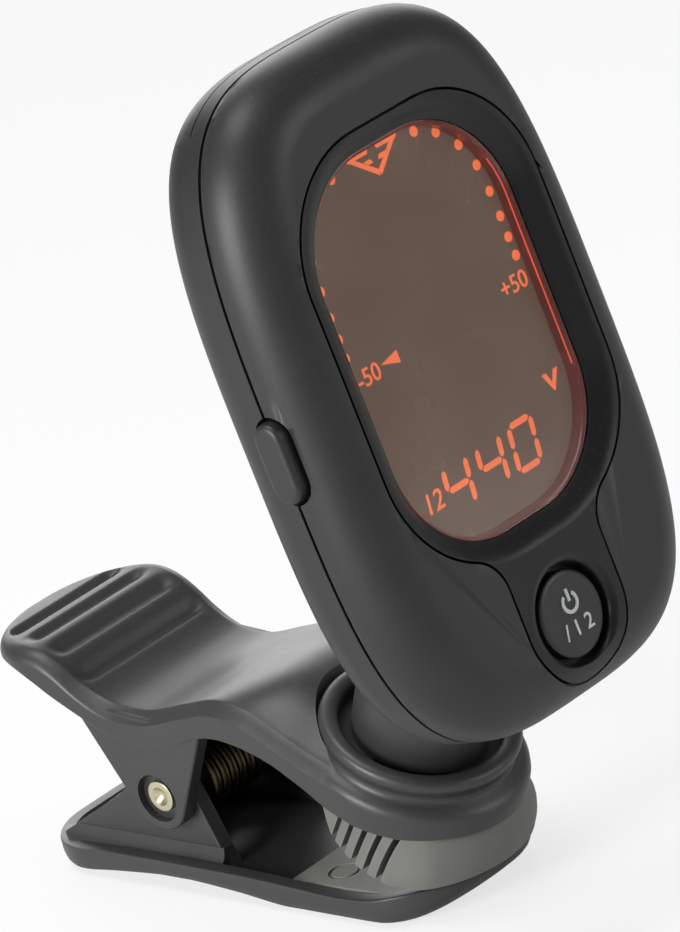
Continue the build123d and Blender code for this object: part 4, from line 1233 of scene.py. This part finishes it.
class TUNER_OT_lower_arm(Operator):
    """Lower arm: a shallow tray with a flared nose, hinge ears and a sloping tail plate"""
    bl_idname = "tuner.lower_arm"
    bl_label = "Lower arm"

    def execute(self, context):
        s = context.scene.tuner
        wall = s.clip.wall / MILLI
        rows = lower_rows(s)

        def up(share):
            """Height of a ring of the rounded lower edge."""
            return lambda h: (lower_under(h)
                              + share * min(1.3, 0.7 * (lower_rim(h) - lower_under(h))))

        def floor(h):
            """Height of the tray's floor."""
            return min(lower_under(h) + 1.4, lower_rim(h) - 0.05)

        rings = [(1.3, up(0.0)), (0.8, up(0.09)), (0.38, up(0.3)), (0.1, up(0.62)), (0.0, up(1.0)),
                 (0.0, lambda h: lower_rim(h) - 0.25), (0.08, lambda h: lower_rim(h) - 0.07),
                 (0.28, lower_rim), (wall - 0.25, lower_rim),
                 (wall, lambda h: max(lower_rim(h) - 0.25, floor(h))), (wall, floor)]
        tray = skin("tray", rows, [-1.0, 1.0], lambda h, x: lower_under(h), rings)
        edit(tray, "EDGE")
        pick(tray, "EDGE", lambda e: e.is_boundary
             and e.verts[0].co.x * e.verts[1].co.x > 0)
        bpy.ops.mesh.bridge_edge_loops()
        free()
        tidy(tray)

        pin_z = s.clip.pin_height / MILLI
        for side in (-1, 1):
            ear = prism("ear", hull([(0, pin_z, 2.5), (-16.0, 1.75, 0.4), (5.0, 1.6, 0.4)], 40),
                        -EAR_HALF, EAR_HALF)
            soften(ear, 0.2, 3)
            within(ear, side_view(side * INNER_EAR_X), TABLE)
            combine(tray, ear, "UNION")
        tail = prism("tail", ((-16.6, 1.3), (-16.6, 2.35), (-15.9, 2.6), (-5.5, 8.55), (-5.0, 7.6),
                              (-14.8, 1.3)), -7.3, 7.3)
        within(tail, side_view(0), TABLE)
        for side in (-1, 1):
            section = [(side * x, z) for x, z in (
                (6.4, 1.2), (8.9, 1.2), (8.9, 2.62), (8.4, 2.7), (8.0, 2.85), (7.7, 3.1),
                (7.48, 3.5), (7.36, 4.1), (6.4, 4.1))]
            foot = prism("foot", section if side > 0 else section[::-1], -16.8, 5.0)
            within(foot, axes((0, PIN_Y, 0), (1, 0, 0), (0, -1, 0)), TABLE)
            combine(tail, foot, "UNION")
        edge = [(half, PIN_Y - h) for h, half in rows(0.6) if h < 8.0]
        outline = prism("outline", edge + [(-x, y) for x, y in reversed(edge)], 0.6, 14.0)
        combine(tail, outline, "INTERSECT")
        under = prism("under", ((-18.0, 0.3), (-18.0, 2.3), (-16.4, 2.4), (-15.9, 2.62),
                                (-5.5, 8.56), (-4.0, 9.4), (6.0, 9.4), (6.0, 0.3)), -12, 12)
        combine(tail, within(under, side_view(0), TABLE), "INTERSECT")
        combine(tray, tail, "UNION")
        bore = prism("bore", circle(0, pin_z, s.clip.pin_radius / MILLI + 0.05, 48), -12, 12)
        combine(tray, within(bore, side_view(0), TABLE))
        shade(tray, 32)
        finish_piece(tray, "lower_arm_skin", TABLE, "lower_jaw", "clip_plastic",
                     clip_plastic(s), "lower_arm")
        return {"FINISHED"}


class TUNER_OT_pads(Operator):
    """The two rubber jaw pads"""
    bl_idname = "tuner.pads"
    bl_label = "Pads"

    def bulge(self, pad):
        """Swell the front of the upper pad below the band."""
        edit(pad, "VERT")
        bm = bmesh.from_edit_mesh(pad.data)
        for vertex in bm.verts:
            radius = sqrt(vertex.co.x ** 2 + vertex.co.y ** 2)
            ahead = -vertex.co.y / radius if radius > 8.0 else 0.0
            low = max(0.0, 1.0 - ((vertex.co.z + 8.9) / 5.2) ** 2)
            swell = 2.6 * low * max(0.0, min(1.0, (ahead + 0.2) / 0.95)) ** 1.6
            if radius > 8.0:
                vertex.co.x *= 1 + swell / radius
                vertex.co.y *= 1 + swell / radius
        bmesh.update_edit_mesh(pad.data)
        free()

    def execute(self, context):
        s = context.scene.tuner
        rubber = finish("Grey rubber", s.finish.pad, 0.66, grain=0.00022, depth=0.00002,
                        wear=0.3, dust=0.12)
        pale = finish("Pale rubber", s.finish.pad_light, 0.62, grain=0.00022, depth=0.00002,
                      wear=0.3, dust=0.12)
        pad = lathe("pad", (
            (0.0, -17.0), (8.6, -17.0), (8.62, -15.0), (8.6, -12.6), (8.62, -11.6),
            (8.62, -10.6), (8.6, -9.6), (8.58, -8.6), (8.56, -7.6), (8.55, -6.6), (8.55, -4.75),
            (8.4, -4.6), (5.5, -4.6), (5.5, -6.2), (0.0, -6.2)), COLLAR_TURN)
        self.bulge(pad)
        side = prism("side", ((19.0, 17.0), (19.0, 11.4), (20.2, 8.0), (23.0, 5.75),
                              (25.5, 4.3), (28.0, 3.6), (31.0, 3.35), (36.0, 3.3), (36.0, 17.0)),
                     -12, 12)
        combine(pad, within(side, side_view(0), COLLAR), "INTERSECT")
        for i in range(s.clip.ribs):
            at = 20.6 + 1.72 * i
            lean = radians(35)
            points = []
            for u, v in ((-0.27, -8.0), (0.27, -8.0), (0.27, 8.0), (-0.27, 8.0)):
                points.append((at + u * cos(lean) + v * sin(lean),
                               8.2 - u * sin(lean) + v * cos(lean)))
            groove = prism("groove", points, -12, 12)
            within(groove, side_view(0), COLLAR)
            combine(groove, lathe("core", ((0.0, -20.0), (7.95, -20.0), (7.95, 4.0),
                                           (0.0, 4.0)), 96))
            combine(pad, groove)
        soften(pad, 0.2, 3, 35)
        shade(pad, 45)
        finish_piece(pad, "upper_jaw_pad_rubber", COLLAR, "upper_jaw", "pad_rubber", rubber,
                     "upper_jaw_pad")

        half_plan = [(half, PIN_Y - h) for h, half in lower_rows(s)(1.74) if h > 12.5]
        half_plan = [(half_plan[0][0], PIN_Y - 12.5)] + half_plan
        plan = half_plan + [(-x, y) for x, y in reversed(half_plan)]
        low = prism("low", plan, 0.5, 12.0)
        side = prism("side", ((12.4, 1.42), (12.4, 2.0), (15.0, 2.4), (20.0, 2.45), (23.0, 2.55),
                              (26.0, 2.95), (29.0, 3.05), (32.4, 3.0), (32.4, 2.7),
                              (29.5, 2.25), (27.5, 1.8), (25.0, 1.5), (22.6, 1.42)), -12, 12)
        within(side, side_view(0), TABLE)
        combine(low, side, "INTERSECT")
        groove = lathe("groove", ((1.5, -0.2), (1.5, 0.5), (1.2, 0.5), (1.2, -0.2)), 48,
                       closed=True)
        groove.location = (-5.0, PIN_Y - 17.0, 2.42)
        combine(low, settled(groove))
        soften(low, 0.14, 3, 35)
        shade(low, 45)
        finish_piece(low, "lower_jaw_pad_rubber", TABLE, "lower_jaw", "pad_rubber_light", pale,
                     "lower_jaw_pad")
        return {"FINISHED"}


class TUNER_OT_post(Operator):
    """Turning post with the tongue of the tilt hinge"""
    bl_idname = "tuner.post"
    bl_label = "Post"

    def execute(self, context):
        s = context.scene.tuner
        post = lathe("post", ((0.8, -4.6), (4.0, -4.6), (4.0, -1.3), (5.9, -1.3), (6.05, -1.1),
                              (6.05, 4.0), (5.95, 4.25), (5.7, 4.4), (0.8, 4.4)), 96)
        tongue = prism("tongue", hull([(0, TILT_HEIGHT, 3.5), (0, 1.0, 3.5)], 64), -3.2, 3.2)
        soften(tongue, 0.3, 3)
        frame_of_tongue = axes(COLLAR_MOUTH, Vector((0, -cos(COLLAR_LEAN), -sin(COLLAR_LEAN))),
                               (-1, 0, 0))
        within(tongue, frame_of_tongue, COLLAR)
        combine(post, tongue, "UNION")
        bore = prism("bore", circle(0, TILT_HEIGHT, 1.3), -6, 6)
        combine(post, within(bore, frame_of_tongue, COLLAR))
        shade(post, 32)
        finish_piece(post, "swivel_post_skin", COLLAR, "post", "clip_plastic", clip_plastic(s),
                     "swivel_post")
        return {"FINISHED"}


class TUNER_OT_hardware(Operator):
    """Hinge pin, torsion spring, tilt screw and nut"""
    bl_idname = "tuner.hardware"
    bl_label = "Hardware"

    def wire(self, name, path, radius, body, material, *nodes):
        """Round wire along a path, as a mesh."""
        free()
        bpy.ops.curve.primitive_bezier_curve_add()
        wire = newest("wire")
        wire.data.splines.clear()
        spline = wire.data.splines.new("POLY")
        spline.points.add(len(path) - 1)
        for point, place in zip(spline.points, path):
            point.co = (*place, 1)
        wire.data.dimensions = "3D"
        wire.data.bevel_depth = radius
        wire.data.bevel_resolution = 3
        wire.data.use_fill_caps = True
        only(wire)
        bpy.ops.object.convert(target="MESH")
        wire = bpy.context.object
        tidy(wire)
        shade(wire, 60)
        return finish_piece(wire, name, TABLE, body, "spring_steel", material, *nodes)

    def execute(self, context):
        s = context.scene.tuner
        brass = finish("Turned brass", s.finish.brass, 0.3, grain=0.00015, depth=0.000004,
                       wear=0.2, dust=0.05, Metallic=1.0)
        steel = finish("Zinc steel", (0.5, 0.5, 0.5), 0.32, grain=0.00015, depth=0.000004,
                       wear=0.2, dust=0.05, Metallic=1.0)
        # the spring wire's near-black colour is partly the dark steel's own and partly painted
        # shade: it is darkened so that the coil stays dark inside the clip, as if in shadow
        dark_steel_and_painted_shade = finish("Spring wire, dark steel and painted shade", (0.06, 0.046, 0.024), 0.3, grain=0.0001,
                            depth=0.000003, wear=0.1, Metallic=1.0)
        pin_z = s.clip.pin_height / MILLI
        r, half = s.clip.pin_radius / MILLI, 8.75
        ends = [(0.0, half - 0.5), (0.4, half - 0.45), (0.75, half - 0.15), (0.9, half),
                (r - 0.18, half), (r - 0.05, half - 0.06), (r, half - 0.2)]
        pin = lathe("pin", ends + [(a, -b) for a, b in reversed(ends)], 48)
        shade(pin, 35)
        finish_piece(pin, "hinge_pin_turned", axes((0, PIN_Y, pin_z), (0, 1, 0), (1, 0, 0)),
                     "upper_jaw", "pin_brass", brass, "hinge_pin")

        wire_r, coil_r, pitch = 0.5, 2.9, 1.1
        turns = 8 + (180 - 30 - 20) / 360
        length = turns * pitch
        top = radians(30)

        def coil(turn):
            a = top + 2 * pi * turn
            return Vector((-length / 2 + pitch * turn, PIN_Y - coil_r * sin(a),
                           pin_z + coil_r * cos(a)))

        first = Vector((0, -cos(top), -sin(top)))
        last_angle = top + 2 * pi * turns
        last = Vector((0, -cos(last_angle), -sin(last_angle)))
        # the upper leg swings with the upper arm; its first stretch lies in the coil at rest
        leg = [coil(0) - first * 15.6, coil(0) - first * 8.0, coil(0) - first * 1.0]
        leg += [coil(i / 40) for i in range(7)]
        body = [coil(turns * i / 300) for i in range(301)]
        body += [coil(turns) + last * 1.0, coil(turns) + last * 7.0, coil(turns) + last * 12.4]
        self.wire("torsion_spring_upper_leg", leg, wire_r - 0.01, "upper_jaw", dark_steel_and_painted_shade)
        self.wire("torsion_spring_wire", body, wire_r, "lower_jaw", dark_steel_and_painted_shade, "torsion_spring")

        head = ((0.0, 6.05), (0.9, 6.05), (0.95, 6.6), (1.7, 6.55), (2.1, 6.3), (2.2, 6.0),
                (2.2, 5.8), (1.25, 5.8), (1.25, -7.0), (0.0, -7.0))
        screw = lathe("screw", head, 48)
        for turn in (0, 90):
            bar = block("bar", (-1.25, -0.22, 6.1), (1.25, 0.22, 7.0))
            bar.rotation_euler = (0, 0, radians(turn))
            combine(screw, settled(bar))
        shade(screw, 35)
        tilt = axes(TILT_AXIS, UP, (-1, 0, 0))
        finish_piece(screw, "tilt_screw_turned", tilt, "head", "screw_steel", steel,
                     "tilt_screw")

        nut = prism("nut", circle(0, 0, 4.2 / sqrt(3), 6), -7.0, -5.8)
        cone = lathe("cone", ((0.0, -7.2), (1.95, -7.2), (2.5, -6.75), (2.5, -5.0),
                              (0.0, -5.0)), 48)
        combine(nut, cone, "INTERSECT")
        combine(nut, prism("bore", circle(0, 0, 1.25), -8, -5))
        soften(nut, 0.06)
        shade(nut, 30)
        finish_piece(nut, "tilt_nut_milled", tilt, "head", "screw_steel", steel, "tilt_nut")
        return {"FINISHED"}


CAD_FINISHES = {
    "nylon": ("Natural nylon", (0.6, 0.6, 0.55), 0.45, {}),
    "screw_steel": ("Zinc steel", (0.5, 0.5, 0.5), 0.32, {"Metallic": 1.0}),
    "zebra_rubber": ("Striped rubber", (0.4, 0.22, 0.22), 0.6, {}),
    "board": ("Board laminate", (0.03, 0.16, 0.06), 0.4, {}),
    "chip": ("Chip package", (0.015, 0.015, 0.015), 0.5, {}),
    "switch_metal": ("Stamped metal", (0.6, 0.6, 0.6), 0.3, {"Metallic": 1.0}),
    "piezo_brass": ("Sensor brass", (0.7, 0.58, 0.32), 0.3, {"Metallic": 1.0}),
    "cell_steel": ("Cell steel", (0.62, 0.62, 0.62), 0.24, {"Metallic": 1.0}),
    "contact_metal": ("Plated contact", (0.62, 0.62, 0.6), 0.28, {"Metallic": 1.0}),
}


# the record's material slot of each construction solid that stays visible
INNER_SLOTS = {
    "case_screws": "screw_steel", "swivel_screw": "screw_steel", "friction_washers": "nylon",
    "swivel_washer": "nylon", "zebra_strip": "zebra_rubber", "circuit_board": "board",
    "controller_chip": "chip", "mode_switch": "switch_metal", "side_switch": "switch_metal",
    "piezo_disc": "piezo_brass", "coin_cell": "cell_steel",
    "negative_contact": "contact_metal", "positive_contact": "contact_metal",
}


class TUNER_OT_inner_parts(Operator):
    """Finishes for the inner parts that keep their construction solids"""
    bl_idname = "tuner.inner_parts"
    bl_label = "Inner parts"

    def execute(self, context):
        for name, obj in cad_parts.items():
            if obj.hide_render:
                continue
            slot_name = INNER_SLOTS[name]
            label, base, rough, extra = CAD_FINISHES[slot_name]
            material = finish(label, base, rough, grain=0.00015, depth=0.000004, wear=0.2,
                              dust=0.03, **extra)
            obj.data.materials.clear()
            obj.data.materials.append(material)
        return {"FINISHED"}


# ---------------------------------------------------------------- stage
class TUNER_OT_stage(Operator):
    """Pale floor, soft lamps, white surround and camera"""
    bl_idname = "tuner.stage"
    bl_label = "Stage"

    def execute(self, context):
        scene = context.scene
        s = scene.tuner
        free()
        bpy.ops.mesh.primitive_plane_add(size=6.0, location=(0, 0, CAD_BOX[0][2]))
        floor = newest("floor")
        floor.data.materials.append(self.floor_material(s))

        world = bpy.data.worlds.new("White surround")
        scene.world = world
        world.use_nodes = True
        tree = world.node_tree
        ground = tree.nodes["Background"]
        ground.inputs["Color"].default_value = (1, 1, 1, 1)
        ground.inputs["Strength"].default_value = SURROUND_STRENGTH
        white = node(tree, "ShaderNodeBackground", (0, -200))
        white.inputs["Color"].default_value = (1, 1, 1, 1)
        white.inputs["Strength"].default_value = 1.0
        mix = node(tree, "ShaderNodeMixShader", (240, 0))
        path = node(tree, "ShaderNodeLightPath", (-300, 300))
        link(tree, path, "Is Camera Ray", mix, 0)
        link(tree, ground, 0, mix, 1)
        link(tree, white, 0, mix, 2)
        link(tree, mix, 0, tree.nodes["World Output"], "Surface")

        for name, place, across, power in LAMPS:
            free()
            bpy.ops.object.light_add(type="AREA", location=place)
            lamp = newest(name)
            lamp.data.shape = "DISK"
            lamp.data.size = across
            lamp.data.energy = power
            aim = LAMP_TARGET - Vector(place)
            lamp.rotation_euler = aim.to_track_quat("-Z", "Y").to_euler()

        free()
        bpy.ops.object.camera_add()
        camera = newest("camera")
        turn = Matrix((CAMERA_RIGHT, CAMERA_UP, CAMERA_BACK)).transposed().to_4x4()
        camera.matrix_world = Matrix.Translation(CAMERA_PLACE) @ turn
        camera.data.sensor_fit = "VERTICAL"
        camera.data.sensor_height = CAMERA_SENSOR
        camera.data.lens = CAMERA_LENS
        camera.data.clip_start = 0.01
        camera.data.clip_end = 20.0
        scene.camera = camera
        scene.view_settings.view_transform = "Standard"
        return {"FINISHED"}

    def floor_material(self, s):
        """Pale floor with a faint tone and the object's shadow"""
        material = bpy.data.materials.new("Pale floor")
        material.use_nodes = True
        tree = material.node_tree
        shader = tree.nodes["Principled BSDF"]
        shader.inputs["Roughness"].default_value = 0.9
        noise = noise_on_piece(tree, (-600, 0), Scale=30.0, Detail=3.0)
        tone = node(tree, "ShaderNodeMix", (-380, 0), data_type="RGBA")
        tone.inputs["A"].default_value = tinted(s.finish.floor, 0.98)
        tone.inputs["B"].default_value = tinted(s.finish.floor, 1.0)
        link(tree, noise, "Fac", tone, "Factor")
        link(tree, tone, "Result", shader, "Base Color")
        # to the camera alone the floor adds light of its own, so that it stays pale
        shine = node(tree, "ShaderNodeEmission", (100, -300), Strength=1.0)
        shine.inputs["Color"].default_value = (1, 1, 1, 1)
        path = node(tree, "ShaderNodeLightPath", (-220, 420))
        share = node(tree, "ShaderNodeMath", (0, 420), operation="MULTIPLY")
        share.inputs[1].default_value = FLOOR_GLOW
        link(tree, path, "Is Camera Ray", share, 0)
        both = node(tree, "ShaderNodeMixShader", (320, 100))
        link(tree, share, 0, both, 0)
        link(tree, shader, 0, both, 1)
        link(tree, shine, 0, both, 2)
        link(tree, both, 0, tree.nodes["Material Output"], "Surface")
        return material


BUILD_ORDER = ("case", "bezel", "display", "buttons", "upper_arm", "lower_arm", "pads", "post",
               "hardware", "inner_parts", "stage")


class TunerSettings(PropertyGroup):
    """All settings of the tuner"""
    case: PointerProperty(type=TunerCase)
    clip: PointerProperty(type=TunerClip)
    finish: PointerProperty(type=TunerFinish)


class TUNER_PT_build(Panel):
    """Lists the steps that build the tuner"""
    bl_idname = "TUNER_PT_build"
    bl_label = "Clip-on tuner"
    bl_space_type = "VIEW_3D"
    bl_region_type = "UI"
    bl_category = "Tuner"

    def draw(self, context):
        settings = context.scene.tuner
        for group in (settings.case, settings.clip, settings.finish):
            box = self.layout.box()
            for key in group.bl_rna.properties.keys():
                if key not in ("rna_type", "name"):
                    box.prop(group, key)
        for step in BUILD_ORDER:
            self.layout.operator("tuner." + step)


CLASSES = (TunerCase, TunerClip, TunerFinish, TunerSettings, TUNER_OT_case, TUNER_OT_bezel,
           TUNER_OT_display, TUNER_OT_buttons, TUNER_OT_upper_arm, TUNER_OT_lower_arm,
           TUNER_OT_pads, TUNER_OT_post, TUNER_OT_hardware, TUNER_OT_inner_parts,
           TUNER_OT_stage, TUNER_PT_build)


def register():
    for cls in CLASSES:
        bpy.utils.register_class(cls)
    bpy.types.Scene.tuner = PointerProperty(type=TunerSettings)


def unregister():
    del bpy.types.Scene.tuner
    for cls in reversed(CLASSES):
        bpy.utils.unregister_class(cls)


def main():
    register()
    for step in BUILD_ORDER:
        getattr(bpy.ops.tuner, step)()
    free()


if __name__ == "__main__":
    main()
